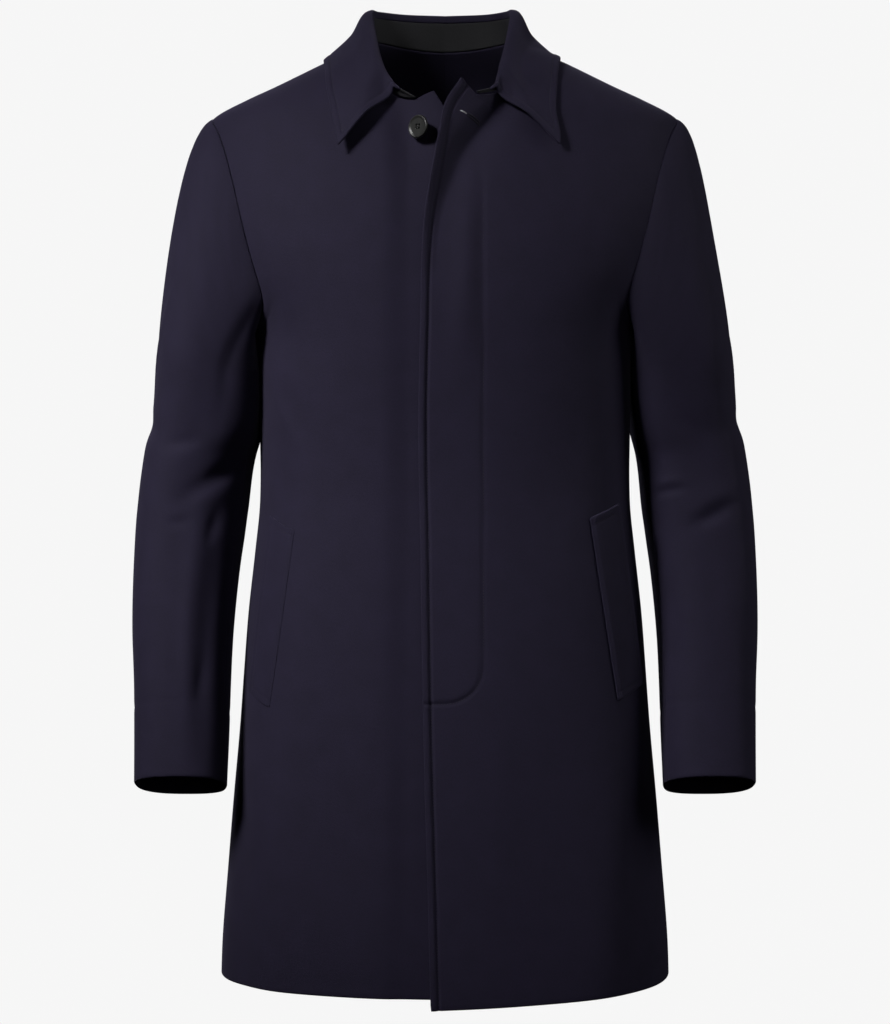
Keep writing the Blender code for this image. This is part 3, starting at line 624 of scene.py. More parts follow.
class Wire:
    """One output of a material's nodes; sums on it add Math nodes."""

    def __init__(self, nodes: "Nodes", socket: bpy.types.NodeSocket) -> None:
        """Keeps the node tree and the socket."""
        self.nodes = nodes
        self.socket = socket

    def math(self, operation: str, *values: Any) -> "Wire":
        """Math node of the given operation on numbers and wires."""
        return self.nodes.add("ShaderNodeMath", {"operation": operation}, dict(enumerate(values)))

    def __add__(self, other: Any) -> "Wire":
        """Sum."""
        return self.math("ADD", self, other)

    def __radd__(self, other: Any) -> "Wire":
        """Sum, the other way round."""
        return self.math("ADD", other, self)

    def __sub__(self, other: Any) -> "Wire":
        """Difference."""
        return self.math("SUBTRACT", self, other)

    def __rsub__(self, other: Any) -> "Wire":
        """Difference, the other way round."""
        return self.math("SUBTRACT", other, self)

    def __mul__(self, other: Any) -> "Wire":
        """Product."""
        return self.math("MULTIPLY", self, other)

    def __rmul__(self, other: Any) -> "Wire":
        """Product, the other way round."""
        return self.math("MULTIPLY", other, self)

    def sine(self) -> "Wire":
        """Sine of the value."""
        return self.math("SINE", self)


class Nodes:
    """Material with a Principled shader, to which nodes are added."""

    def __init__(self, name: str) -> None:
        """Starts a material of that name.

        Args:
            name: name of the material.
        """
        self.material = bpy.data.materials.new(name)
        self.material.use_nodes = True
        self.tree = self.material.node_tree
        self.shader = self.tree.nodes["Principled BSDF"]

    def put(self, socket: bpy.types.NodeSocket, value: Any) -> None:
        """Links a wire to an input, or sets the input to a plain value.

        Args:
            socket: the input.
            value: wire, number, vector or colour.
        """
        if isinstance(value, Wire):
            self.tree.links.new(value.socket, socket)
        elif isinstance(value, tuple) and len(value) == 3 and socket.type == "RGBA":
            socket.default_value = (*value, 1.0)
        else:
            socket.default_value = value

    def add(
        self, kind: str, settings: dict[str, Any], inputs: dict[Any, Any], output: Union[int, str] = 0
    ) -> Wire:
        """Adds any node.

        Args:
            kind: type of the node.
            settings: its settings, which are set first; "stops" sets a ramp's places and colours.
            inputs: values or wires for its inputs, by name or number.
            output: the output that is wanted.

        Returns:
            A wire from that output.
        """
        node = self.tree.nodes.new(kind)
        for name, value in settings.items():
            if name == "stops":
                self.set_stops(node.color_ramp, value)
            else:
                setattr(node, name, value)
        for name, value in inputs.items():
            self.put(node.inputs[name], value)
        return Wire(self, node.outputs[output])

    @staticmethod
    def set_stops(ramp: bpy.types.ColorRamp, stops: Sequence[tuple[float, Colour]]) -> None:
        """Places the stops of a ramp.

        Args:
            ramp: the ramp.
            stops: place and colour of each stop.
        """
        while len(ramp.elements) < len(stops):
            ramp.elements.new(1.0)
        for element, (place, colour) in zip(ramp.elements, stops):
            element.position = place
            element.color = (*colour, 1.0)

    def finish(self, **inputs: Any) -> Material:
        """Sets the shader's inputs, with spaces for underscores in their names, and gives the material.

        Args:
            **inputs: values or wires by input.

        Returns:
            The material.
        """
        for name, value in inputs.items():
            self.put(self.shader.inputs[name.replace("_", " ")], value)
        return self.material

    def place(self) -> Wire:
        """Place on the piece in metres."""
        return self.add("ShaderNodeTexCoord", {}, {}, "Object")

    def bump(self, strength: float, distance: float, height: Wire) -> Wire:
        """Normal bent by a height."""
        return self.add("ShaderNodeBump", {}, {"Strength": strength, "Distance": distance, "Height": height})

    def noise(self, place: Wire, scale: float, detail: float, roughness: float = 0.5) -> Wire:
        """Noise between 0 and 1 with features of one over scale metres."""
        inputs = {"Vector": place, "Scale": scale, "Detail": detail, "Roughness": roughness}
        return self.add("ShaderNodeTexNoise", {"noise_dimensions": "3D"}, inputs)

    def blend(self, factor: Wire, first: Any, second: Any) -> Wire:
        """Mix of two colours."""
        inputs = {"Fac": factor, "Color1": first, "Color2": second}
        return self.add("ShaderNodeMixRGB", {"use_clamp": True}, inputs)


@dataclass(frozen=True)
class WoolFinish:
    """Brushed wool twill: fine diagonal ribs under a short nap, two tones of fibre and a soft sheen."""

    name: str
    deep: Colour
    light: Colour
    sheen: float = 0.10
    sheen_tint: Colour = (0.62, 0.58, 0.80)
    rib_pitch: float = 0.00095
    relief: float = 0.00030

    def make(self) -> Material:
        """Material of the cloth, on its own map in metres.

        Returns:
            The material.
        """
        nodes = Nodes(self.name)
        cloth = nodes.add("ShaderNodeUVMap", {"uv_map": UV_NAME}, {})
        across = nodes.add("ShaderNodeSeparateXYZ", {}, {0: cloth}, "X")
        up = nodes.add("ShaderNodeSeparateXYZ", {}, {0: cloth}, "Y")
        waver = nodes.noise(cloth, 160.0, 1.0)
        ribs = ((across + up + waver * (0.5 * self.rib_pitch)) * (2.0 * math.pi / self.rib_pitch)).sine()
        streak = nodes.add("ShaderNodeMapping", {}, {"Vector": cloth, "Scale": (1.0, 0.35, 1.0)})
        fibres = nodes.noise(streak, 1500.0, 2.0, 0.65)
        nap = nodes.noise(cloth, 420.0, 3.0, 0.6)
        cloud = nodes.noise(cloth, 38.0, 2.0)
        tone = 0.5 + (fibres - 0.5) * 0.9 + (nap - 0.5) * 0.75 + (cloud - 0.5) * 0.5 + ribs * 0.06
        colour = nodes.blend(tone, self.deep, self.light)
        height = fibres * 0.7 + nap * 0.9 + ribs * 0.16
        return nodes.finish(
            Base_Color=colour,
            Roughness=0.80 + (nap - 0.5) * 0.2,
            Specular_IOR_Level=0.22,
            Sheen_Weight=self.sheen,
            Sheen_Roughness=0.45,
            Sheen_Tint=self.sheen_tint,
            Normal=nodes.bump(0.55, self.relief, height),
        )


@dataclass(frozen=True)
class ThreadFinish:
    """Twisted sewing thread, a little glossier than the cloth."""

    name: str
    deep: Colour
    light: Colour
    twist: float = 2600.0

    def make(self) -> Material:
        """Material of the thread.

        Returns:
            The material.
        """
        nodes = Nodes(self.name)
        place = nodes.place()
        twist = nodes.noise(place, self.twist, 2.0)
        return nodes.finish(
            Base_Color=nodes.blend(twist, self.deep, self.light),
            Roughness=0.52 + twist * 0.2,
            Specular_IOR_Level=0.35,
            Normal=nodes.bump(0.4, 0.0001, twist),
        )


@dataclass(frozen=True)
class HornFinish:
    """Charcoal horn-like plastic with faint streaks and fine scuffs."""

    name: str = "horn_plastic"
    deep: Colour = (0.014, 0.014, 0.014)
    light: Colour = (0.040, 0.041, 0.039)

    def make(self) -> Material:
        """Material of the button.

        Returns:
            The material.
        """
        nodes = Nodes(self.name)
        place = nodes.place()
        streak = nodes.add("ShaderNodeMapping", {}, {"Vector": place, "Scale": (1.0, 1.0, 0.3)})
        cloud = nodes.noise(streak, 260.0, 3.0)
        scuff = nodes.noise(place, 2400.0, 2.0)
        return nodes.finish(
            Base_Color=nodes.blend(cloud, self.deep, self.light),
            Roughness=0.24 + scuff * 0.16,
            Specular_IOR_Level=0.5,
            Normal=nodes.bump(0.08, 0.0001, scuff),
        )


@dataclass(frozen=True)
class FloorFinish:
    """Pale matt paper with a faint mottle and an even glow, so that it stays pale under the narrow lamps."""

    name: str = "pale_floor"
    tone: Colour = (0.84, 0.84, 0.84)
    dim: Colour = (0.81, 0.81, 0.81)
    glow: float = 0.52

    def make(self) -> Material:
        """Material of the floor.

        Returns:
            The material.
        """
        nodes = Nodes(self.name)
        place = nodes.place()
        colour = nodes.blend(nodes.noise(place, 6.0, 2.0), self.tone, self.dim)
        return nodes.finish(
            Base_Color=colour,
            Roughness=0.95,
            Specular_IOR_Level=0.05,
            Emission_Color=(self.glow, self.glow, self.glow, 1.0),
            Emission_Strength=1.0,
        )


# Cloth pieces


@dataclass(frozen=True)
class Cut:
    """Flat cut of one cloth piece."""

    width: float
    length: float
    area: float
    hold: Hold = Hold.HUNG


def dress(
    piece: Piece,
    material: Material,
    node: str = "",
) -> Piece:
    """Gives a piece its material and its place on the frame.

    Args:
        piece: the finished piece.
        material: its material.
        node: the solid that it stands for, or an empty word where it is an extra.

    Returns:
        The piece.
    """
    piece.data.materials.append(material)
    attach(piece, BODY_NAME)
    if node:
        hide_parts(node)
    LOG.info("%s: %d faces", piece.name, len(piece.data.polygons))
    return piece


@dataclass(frozen=True)
class Crease:
    """Soft trough (negative depth) or ridge that lies along a slanted line.

    Its place is the distance from the middle on the body, and the turn on a sleeve. Slant and turn are in
    degrees.
    """

    place: float
    height: float
    slant: float
    half_length: float
    half_width: float
    depth: float

    def at(self, aside: Array, up: Array) -> Array:
        """Depth at ways sideways and up from its middle: one bell along its line times one across it.

        Args:
            aside: way sideways.
            up: way up.

        Returns:
            Depths.
        """
        slant = math.radians(self.slant)
        along = aside * math.cos(slant) + up * math.sin(slant)
        off = up * math.cos(slant) - aside * math.sin(slant)
        return self.depth * bell(along, self.half_length) * bell(off, self.half_width)


CREASES = {
    (Face.FRONT, Side.LEFT): table(
        Crease,
        (0.170, -0.262, 62.0, 0.050, 0.016, -0.0030),
        (0.150, -0.300, 55.0, 0.060, 0.020, 0.0018),
        (0.125, -0.345, 74.0, 0.110, 0.030, -0.0022),
        (0.090, -0.780, 88.0, 0.180, 0.038, -0.0022),
        (0.160, -0.800, 86.0, 0.170, 0.030, 0.0026),
        (0.195, -0.760, 84.0, 0.140, 0.020, -0.0022),
    ),
    (Face.FRONT, Side.RIGHT): table(
        Crease,
        (0.168, -0.262, 60.0, 0.040, 0.018, -0.0036),
        (0.156, -0.345, 66.0, 0.034, 0.007, 0.0014),
        (0.148, -0.300, 40.0, 0.050, 0.022, 0.0018),
        (0.110, -0.720, 90.0, 0.200, 0.036, -0.0018),
        (0.170, -0.780, 86.0, 0.170, 0.026, 0.0026),
        (0.200, -0.780, 88.0, 0.140, 0.016, -0.0030),
    ),
    (Face.BACK, Side.LEFT): table(
        Crease,
        (0.150, -0.300, 58.0, 0.070, 0.020, -0.0034),
        (0.110, -0.390, 12.0, 0.060, 0.018, -0.0026),
        (0.085, -0.425, -8.0, 0.070, 0.020, 0.0024),
        (0.120, -0.760, 88.0, 0.190, 0.034, -0.0030),
    ),
    (Face.BACK, Side.RIGHT): table(
        Crease,
        (0.152, -0.310, 60.0, 0.070, 0.022, -0.0032),
        (0.100, -0.400, 6.0, 0.070, 0.018, -0.0026),
        (0.120, -0.440, -14.0, 0.060, 0.020, 0.0022),
        (0.100, -0.780, 92.0, 0.180, 0.036, -0.0028),
    ),
}


@dataclass(frozen=True)
class FrontEdge:
    """Place of a front's edge at a height."""

    height: float
    across: float


LEFT_EDGE = table(
    FrontEdge,
    (-0.930, -0.0130),
    (-0.804, -0.0161),
    (-0.672, -0.0199),
    (-0.576, -0.0218),
    (-0.483, -0.0231),
    (-0.338, -0.0252),
    (-0.248, -0.0233),
    (-0.195, -0.0222),
    (-0.149, -0.0188),
    (-0.112, -0.0124),
    (-0.075, -0.0051),
    (-0.050, 0.0010),
    (-0.0284, 0.0145),
)

RIGHT_EDGE = table(
    FrontEdge,
    (-0.930, -0.0240),
    (-0.195, -0.0220),
    (-0.112, -0.0150),
    (-0.0655, -0.0045),
    (-0.0500, 0.0000),
    (-0.0322, 0.0102),
)


@dataclass
class Panel:
    """One front or back, worked out on the body's left half and mirrored for the right.

    Its rows run from the middle of the body to the side seam, then to the armhole. Between its two ends a
    row is straight in angle and height, and its points are set out by length.
    """

    side: Side
    face: Face
    hem: float = -0.9090
    hem_side: float = -0.8950
    cloth: float = 0.0022
    hem_fold: float = 0.0038
    hem_depth: float = 0.040
    seam: float = 0.0010
    row_step: float = 0.0033
    upper_run: float = 0.36
    first_column: float = 0.0016

    def inner_curve(self, rises: Array) -> tuple[Array, Array]:
        """Angles and heights of the middle edge and the neckline, by share of its upper length."""
        raise NotImplementedError

    def lower_inner(self, heights: Array) -> Array:
        """Angles of the middle edge below the underarm."""
        raise NotImplementedError

    def columns(self, longest: Array) -> Array:
        """Places of the columns: lengths from the middle edge, and shares of the rest."""
        raise NotImplementedError

    def form_lift(self, across: Array, height: Array) -> Array:
        """How far the solid's face stands off the form."""
        return 0.0 * across

    def lift(self, across: Array, height: Array) -> Array:
        """How far the dressed face stands off the form, without its creases."""
        return self.form_lift(across, height)

    def creases(self, across: Array, height: Array) -> Array:
        """Depth of all creases of this panel.

        Args:
            across: distance from the middle.
            height: height of the place.

        Returns:
            Depths.
        """
        depth = np.zeros(np.shape(across))
        for crease in CREASES[self.face, self.side]:
            depth = depth + crease.at(across - crease.place, height - crease.height)
        return depth

    def dressed_lift(self, across: Array, height: Array) -> Array:
        """How far the face stands off the form, with its creases."""
        return self.lift(across, height) + self.creases(across, height)

    def crease_share(self, lengths: Array) -> Array:
        """Share of the creases at lengths along each row: none at the side seam and the armhole."""
        return smooth_step(0.0, 0.022, lengths[:, -1:] - lengths)

    def row_ends(self) -> tuple[Array, Array, Array, Array]:
        """Angles and heights of both ends of every row, from the hem to the shoulder.

        Returns:
            Middle angles, middle heights, side angles and side heights.
        """
        stops = (self.hem + self.hem_fold / 2.0, *FLY_END, FORM.underarm)
        fine = graded(stops, (self.row_step, 0.0016, self.row_step))[:-1]
        lower = (fine - self.hem) / (FORM.underarm - self.hem)
        side_low = self.hem_side + lower * (FORM.underarm - self.hem_side)
        middle_low = self.hem + lower * (FORM.underarm - self.hem)
        upper = graded((0.0, 0.985, 1.0 - self.seam / self.upper_run), (0.0098, 0.004))
        inner_angles, inner_heights = self.inner_curve(upper)
        turns = np.linspace(math.pi, 0.0, 241) * self.face.value
        angles, heights = FORM.armhole(turns)
        shares = length_shares(FORM.point(angles, heights))
        outer_angles = np.interp(upper, shares, angles)
        outer_heights = np.interp(upper, shares, heights)
        return (
            np.concatenate([self.lower_inner(middle_low), inner_angles]),
            np.concatenate([middle_low, inner_heights]),
            np.concatenate([0.0 * side_low, outer_angles]),
            np.concatenate([side_low, outer_heights]),
        )

    def sag(self, angles: Array, heights: Array) -> Array:
        """How far the straight rows are pulled down to pass below the collar's end."""
        return 0.0 * heights

    def grid(self) -> tuple[Array, Array]:
        """Angles and heights of the panel's grid, rows by columns.

        Returns:
            Angles and heights.
        """
        inner_angles, inner_heights, outer_angles, outer_heights = self.row_ends()
        fine = np.linspace(0.0, 1.0, 161)
        angles = inner_angles[:, None] + fine * (outer_angles - inner_angles)[:, None]
        heights = inner_heights[:, None] + fine * (outer_heights - inner_heights)[:, None]
        heights = heights - self.sag(angles, heights)
        lengths = lengths_along(FORM.point(angles, heights), 1)
        at = self.columns(lengths[:, -1:])
        return interp_rows(at, lengths, angles), interp_rows(at, lengths, heights)

    def thickness(self, heights: Array) -> Array:
        """Wall of the cloth, double where the hem is turned up."""
        double = smooth_step(self.hem_depth + 0.004, self.hem_depth, heights - heights[:1])
        return self.cloth + (self.hem_fold - self.cloth) * double

    def build(self, material: Material, cut: Cut) -> Piece:
        """Makes and dresses the panel.

        Args:
            material: cloth of the panel.
            cut: its flat cut; not used.

        Returns:
            The piece.
        """
        node = f"{self.face.name}_{self.side.name}".lower()
        angles, heights = self.grid()
        base = FORM.point(angles, heights)
        normals = FORM.normal(angles, heights)
        lift = self.lift(base[..., 0], heights)
        lift = lift + self.creases(base[..., 0], heights) * self.crease_share(lengths_along(base, 1))
        outer = base + normals * lift[..., None]
        inner = base + normals * (lift - self.thickness(heights))[..., None]
        uv = grid_uv(base, base[:, :1, 0])
        uv[..., 1] = heights
        uv = uv * np.array([self.side.value, 1.0])
        limit = np.full(heights.shape, self.cloth / 2.0)
        limit[0] = self.hem_fold
        piece = Shell(f"cloth_{node}", self.side.put(outer), self.side.put(inner), uv, limit).make()
        return dress(piece, material, node)


@dataclass
class FrontPanel(Panel):
    """Front with an edge, a top corner and half of the neckline."""

    corner: float = -0.0284
    edge_rows: Sequence[FrontEdge] = LEFT_EDGE

    def __post_init__(self) -> None:
        """Makes the curve of the edge."""
        self.edge = Curve(self.edge_rows, "height", "across")

    def lower_inner(self, heights: Array) -> Array:
        """Angles of the front edge below the underarm."""
        return FORM.angle_at_x(self.edge.at(heights), heights)

    def inner_curve(self, rises: Array) -> tuple[Array, Array]:
        """Front edge up to the corner, a straight top edge to the collar's end, then the neckline.

        Args:
            rises: shares of the whole length.

        Returns:
            Angles and heights.
        """
        rise = np.linspace(FORM.underarm, self.corner, LINE_SAMPLES)
        neck_turns = np.linspace(COLLAR_END, FORM.neck_point_turn(), LINE_SAMPLES)
        neck_angles, neck_heights = FORM.neckline(neck_turns)
        angles = np.concatenate([FORM.angle_at_x(self.edge.at(rise), rise), neck_angles])
        heights = np.concatenate([rise, neck_heights])
        shares = length_shares(FORM.point(angles, heights))
        places = rises.copy()
        for stop in shares[LINE_SAMPLES - 1 : LINE_SAMPLES + 1]:
            places[np.argmin(np.abs(places - stop))] = stop
        return np.interp(places, shares, angles), np.interp(places, shares, heights)

    def sag(self, angles: Array, heights: Array) -> Array:
        """How far the straight rows are pulled down to pass below the collar's end.

        The end lies below the corner. A row bends at the angle of the end, and passes it a little lower than
        the row above.

        Args:
            angles: angles along the straight rows.
            heights: heights along them.

        Returns:
            Way down at every place.
        """
        gate_angle, gate_height = FORM.neckline(np.array(COLLAR_END))
        start, end = angles[:, :1], angles[:, -1:]
        gate_row = np.argmin(np.hypot(start - gate_angle, heights[:, :1] - gate_height))
        below = gate_row - np.arange(len(angles))[:, None]
        before = np.maximum(start - gate_angle, 1e-6)
        straight = heights[:, :1] + before / (start - end) * (heights[:, -1:] - heights[:, :1])
        depth = np.maximum(straight - gate_height + 0.0003 * below, 0.0) * (below > 0)
        after = np.maximum(gate_angle - end, 1e-6)
        return depth * np.minimum((start - angles) / before, (angles - end) / after)

    def columns(self, longest: Array) -> Array:
        """Fine columns along the edge and over the fly, wider ones to the side.

        Args:
            longest: length of each row.

        Returns:
            Lengths along each row.
        """
        near = graded((self.seam, 0.015, 0.078), (0.0011, 0.0021))
        share = np.concatenate([np.linspace(0.0, 1.0, 48)[1:-1], [1.0]])
        last = longest - self.seam
        far = near[-1] + (last - near[-1]) * share[None]
        parts = [near[None] + 0.0 * last, far[:, :-1], last - self.first_column, last]
        return np.concatenate(parts, axis=1)

    def edge_distance(self, across: Array, height: Array) -> Array:
        """Distance from the front edge, square to it."""
        slope = self.edge.slope(height)
        return (across - self.edge.at(height)) / np.sqrt(1.0 + slope**2)


@dataclass(frozen=True)
class TopRoll:
    """How the top of the left front rolls out at a height: way to the valley, and lift at the edge."""

    height: float
    valley: float
    lift: float


TOP_ROLL = table(
    TopRoll,
    (-0.240, 0.0150, 0.0000),
    (-0.200, 0.0150, 0.0018),
    (-0.165, 0.0155, 0.0052),
    (-0.125, 0.0180, 0.0102),
    (-0.111, 0.0205, 0.0122),
    (-0.096, 0.0240, 0.0144),
    (-0.082, 0.0285, 0.0164),
    (-0.066, 0.0370, 0.0184),
    (-0.050, 0.0460, 0.0198),
    (-0.028, 0.0500, 0.0204),
)


@dataclass
class LeftFront(FrontPanel):
    """Front that lies on top, with the fly's stitching, the edge stitching and a loose top corner."""

    stitch_in: float = 0.0078
    fly_across: float = 0.0366
    fly_low: float = -0.5825
    fly_radius: float = 0.0370
    fly_top: float = -0.112
    edge_raise: float = 0.0014
    edge_groove: float = 0.0015
    fly_raise: float = 0.0007
    fly_groove: float = 0.0010

    def __post_init__(self) -> None:
        """Makes the curves of the edge and of the rolled top."""
        super().__post_init__()
        self.valley_in = Curve(TOP_ROLL, "height", "valley")
        self.roll_out = Curve(TOP_ROLL, "height", "lift")

    def form_lift(self, across: Array, height: Array) -> Array:
        """Top that rolls outwards from a slanting valley, and the ridge of the fly.

        From the valley the face rises towards the edge as a power of the way there, and the valley is a
        bell that is wider on the side of the chest.

        Args:
            across: distance from the middle.
            height: height of the place.

        Returns:
            Lift of the solid's face.
        """
        from_edge = across - self.edge.at(height)
        valley = self.valley_in.at(height)
        way = np.clip(1.0 - from_edge / valley, 0.0, 1.3)
        roll = self.roll_out.at(height) * way**1.25
        beyond = from_edge - valley
        dip = bell(beyond, np.where(beyond > 0.0, 0.026, 0.010))
        hollow = -0.42 * self.roll_out.at(height) * dip
        ridge = 0.0020 * bell(height + 0.235, 0.070) * bell(from_edge - 0.040, 0.014)
        return roll + hollow + ridge

    def fly_distance(self, across: Array, height: Array) -> Array:
        """Distance outwards from the fly's line: straight down, a quarter circle, straight to the edge.

        Args:
            across: distance from the middle.
            height: height of the place.

        Returns:
            Distances, negative inside the fly.
        """
        centre = self.fly_across - self.fly_radius
        low = np.where(
            across > centre,
            np.hypot(across - centre, height - self.fly_low) - self.fly_radius,
            self.fly_low - self.fly_radius - height,
        )
        return np.where(height > self.fly_low, across - self.fly_across, low)

    def lift(self, across: Array, height: Array) -> Array:
        """Form, edge ridge, stitched grooves and fly.

        Args:
            across: distance from the middle.
            height: height of the place.

        Returns:
            Lift of the dressed face.
        """
        edge = self.edge_distance(across, height)
        fly = self.fly_distance(across, height)
        below_top = smooth_step(self.fly_top + 0.012, self.fly_top - 0.030, height)
        lift = self.form_lift(across, height)
        lift = lift + self.edge_raise * smooth_step(self.stitch_in, self.stitch_in - 0.004, edge)
        lift = lift - self.edge_groove * bell(edge - self.stitch_in, 0.0015)
        lift = lift + self.fly_raise * smooth_step(0.001, -0.006, fly) * below_top
        lift = lift - self.fly_groove * bell(fly, STITCH_GROOVE) * below_top
        upper = bell(height + 0.190, 0.075)
        lift = lift - 0.0016 * bell(fly + 0.0035, 0.0042) * upper
        return lift + 0.0014 * bell(fly + 0.0165, 0.0090) * upper

    def surface(self, across: Array, height: Array) -> tuple[Array, Array]:
        """Points and normals of the dressed face at places seen from the front."""
        angle = FORM.angle_at_x(across, height)
        return FORM.raised(angle, height, self.dressed_lift(across, height)), FORM.normal(angle, height)

    def stitch_paths(self) -> list[tuple[Array, Array]]:
        """Rows of stitches: along the edge, and round the fly.

        Returns:
            Points and normals of both rows.
        """
        height = np.linspace(-0.904, -0.036, 700)
        slope = self.edge.slope(height)
        across = self.edge.at(height) + self.stitch_in * np.sqrt(1.0 + slope**2)
        edge = self.surface(across, height)
        centre = self.fly_across - self.fly_radius
        turns = np.linspace(0.0, -math.pi / 2.0, 60)
        down = np.linspace(self.fly_top - 0.016, self.fly_low, 320)[:-1]
        last = np.linspace(centre, self.edge.at(-0.62) + self.stitch_in, 14)[1:]
        curve = (centre + self.fly_radius * np.cos(turns), self.fly_low + self.fly_radius * np.sin(turns))
        fly_across = np.concatenate([np.full(len(down), self.fly_across), curve[0], last])
        low = np.full(len(last), self.fly_low - self.fly_radius)
        return [edge, self.surface(fly_across, np.concatenate([down, curve[1], low]))]


@dataclass
class RightFront(FrontPanel):
    """Front that lies underneath, dipping below the left one."""

    under: float = 0.0034
    over: Optional[LeftFront] = None

    def form_lift(self, across: Array, height: Array) -> Array:
        """Dip under the left front, and a corner that rolls out beside a hollow.

        Args:
            across: distance from the middle.
            height: height of the place.

        Returns:
            Lift of the solid's face.
        """
        from_edge = across - self.edge.at(height)
        dip = smooth_step(-0.062, -0.034, -across)
        opening = smooth_step(-0.150, -0.045, height)
        roll = 0.0070 * opening * bell(from_edge, 0.026)
        hollow = -0.0032 * opening * bell(from_edge - 0.046, 0.018)
        return roll + hollow - self.under * dip

    def lift(self, across: Array, height: Array) -> Array:
        """Form, kept below the inside of the left front where that one covers it.

        Args:
            across: distance from the middle.
            height: height of the place.

        Returns:
            Lift of the dressed face.
        """
        lift = self.form_lift(across, height)
        if self.over is None:
            return lift
        covered = -across > self.over.edge.at(height)
        ceiling = self.over.lift(-across, height) - 0.0036
        return np.where(covered, np.minimum(lift, ceiling), lift)

    def face_at(self, across: float, height: float) -> tuple[Array, Array]:
        """Point of the face and the direction out of it, by small steps to both sides and up and down.

        Args:
            across: distance from the middle.
            height: height of the place.

        Returns:
            The point and the direction.
        """
        step = 0.0005
        ways = np.array([[0.0, 0.0], [step, 0.0], [-step, 0.0], [0.0, step], [0.0, -step]])
        places = ways + (across, height)
        angles = FORM.angle_at_x(places[:, 0], places[:, 1])
        spots = FORM.raised(angles, places[:, 1], self.dressed_lift(places[:, 0], places[:, 1]))
        return spots[0], unit(np.cross(spots[1] - spots[2], spots[3] - spots[4]))


@dataclass
class BackPanel(Panel):
    """Half of the back, with the centre-back seam."""

    hem: float = -0.8930

    def lower_inner(self, heights: Array) -> Array:
        """Angles of the centre-back seam below the underarm."""
        return np.full(np.shape(heights), -math.pi / 2.0)

    def inner_curve(self, rises: Array) -> tuple[Array, Array]:
        """Centre-back seam up to the neckline, then round it to the shoulder seam.

        The row nearest to the corner between the two moves to it, at both of its ends.

        Args:
            rises: shares of the whole length, of which that row's is changed.

        Returns:
            Angles and heights.
        """
        neck_turns = np.linspace(math.pi, FORM.neck_point_turn(), LINE_SAMPLES)
        neck_angles, neck_heights = FORM.neckline(neck_turns)
        rise = np.linspace(FORM.underarm, neck_heights[0], LINE_SAMPLES + 1)[:-1]
        angles = np.concatenate([np.full(LINE_SAMPLES, -math.pi / 2.0), neck_angles])
        heights = np.concatenate([rise, neck_heights])
        shares = length_shares(FORM.point(angles, heights))
        corner = shares[LINE_SAMPLES]
        rises[np.argmin(np.abs(rises - corner))] = corner
        return np.interp(rises, shares, angles), np.interp(rises, shares, heights)

    def columns(self, longest: Array) -> Array:
        """Even columns with a narrow one at each seam.

        Args:
            longest: length of each row.

        Returns:
            Lengths along each row.
        """
        last = longest - self.seam
        share = np.linspace(0.0, 1.0, 62)[1:-1]
        inside = self.seam + (last - self.seam) * share[None]
        first = np.full(longest.shape, self.seam)
        parts = [first, first + self.first_column, inside, last - self.first_column, last]
        return np.concatenate(parts, axis=1)

    def crease_share(self, lengths: Array) -> Array:
        """Share of the creases, none at the centre-back seam either."""
        return super().crease_share(lengths) * smooth_step(0.0, 0.022, lengths)


# Sleeves


@dataclass(frozen=True)
class SleeveRing:
    """Ring of the left sleeve below the armhole."""

    along: float
    centre_x: float
    centre_y: float
    centre_z: float
    half_width: float
    half_depth: float


SLEEVE_RINGS = table(
    SleeveRing,
    (0.00, 0.2318, 0.006, -0.290, 0.0552, 0.0840),
    (0.10, 0.2350, 0.010, -0.332, 0.0555, 0.0810),
    (0.19, 0.2440, 0.013, -0.370, 0.0542, 0.0780),
    (0.33, 0.2515, 0.009, -0.430, 0.0548, 0.0745),
    (0.48, 0.2570, -0.001, -0.490, 0.0525, 0.0710),
    (0.62, 0.2595, -0.014, -0.550, 0.0502, 0.0680),
    (0.77, 0.2588, -0.027, -0.610, 0.0478, 0.0652),
    (0.89, 0.2582, -0.038, -0.660, 0.0470, 0.0635),
    (1.00, 0.2582, -0.049, -0.706, 0.0460, 0.0622),
)


@dataclass(frozen=True)
class SleeveSeam:
    """Turns of the two seams of a sleeve, in degrees: 0 outwards, 90 forwards, 180 to the body."""

    along: float
    hind: float
    fore: float


SLEEVE_SEAMS = table(
    SleeveSeam,
    (0.00, -62.0, 142.0),
    (0.16, -28.0, 147.0),
    (0.32, 8.0, 151.0),
    (0.45, 20.0, 153.0),
    (0.60, 20.0, 153.0),
    (0.80, 10.0, 151.0),
    (1.00, 6.0, 150.0),
)


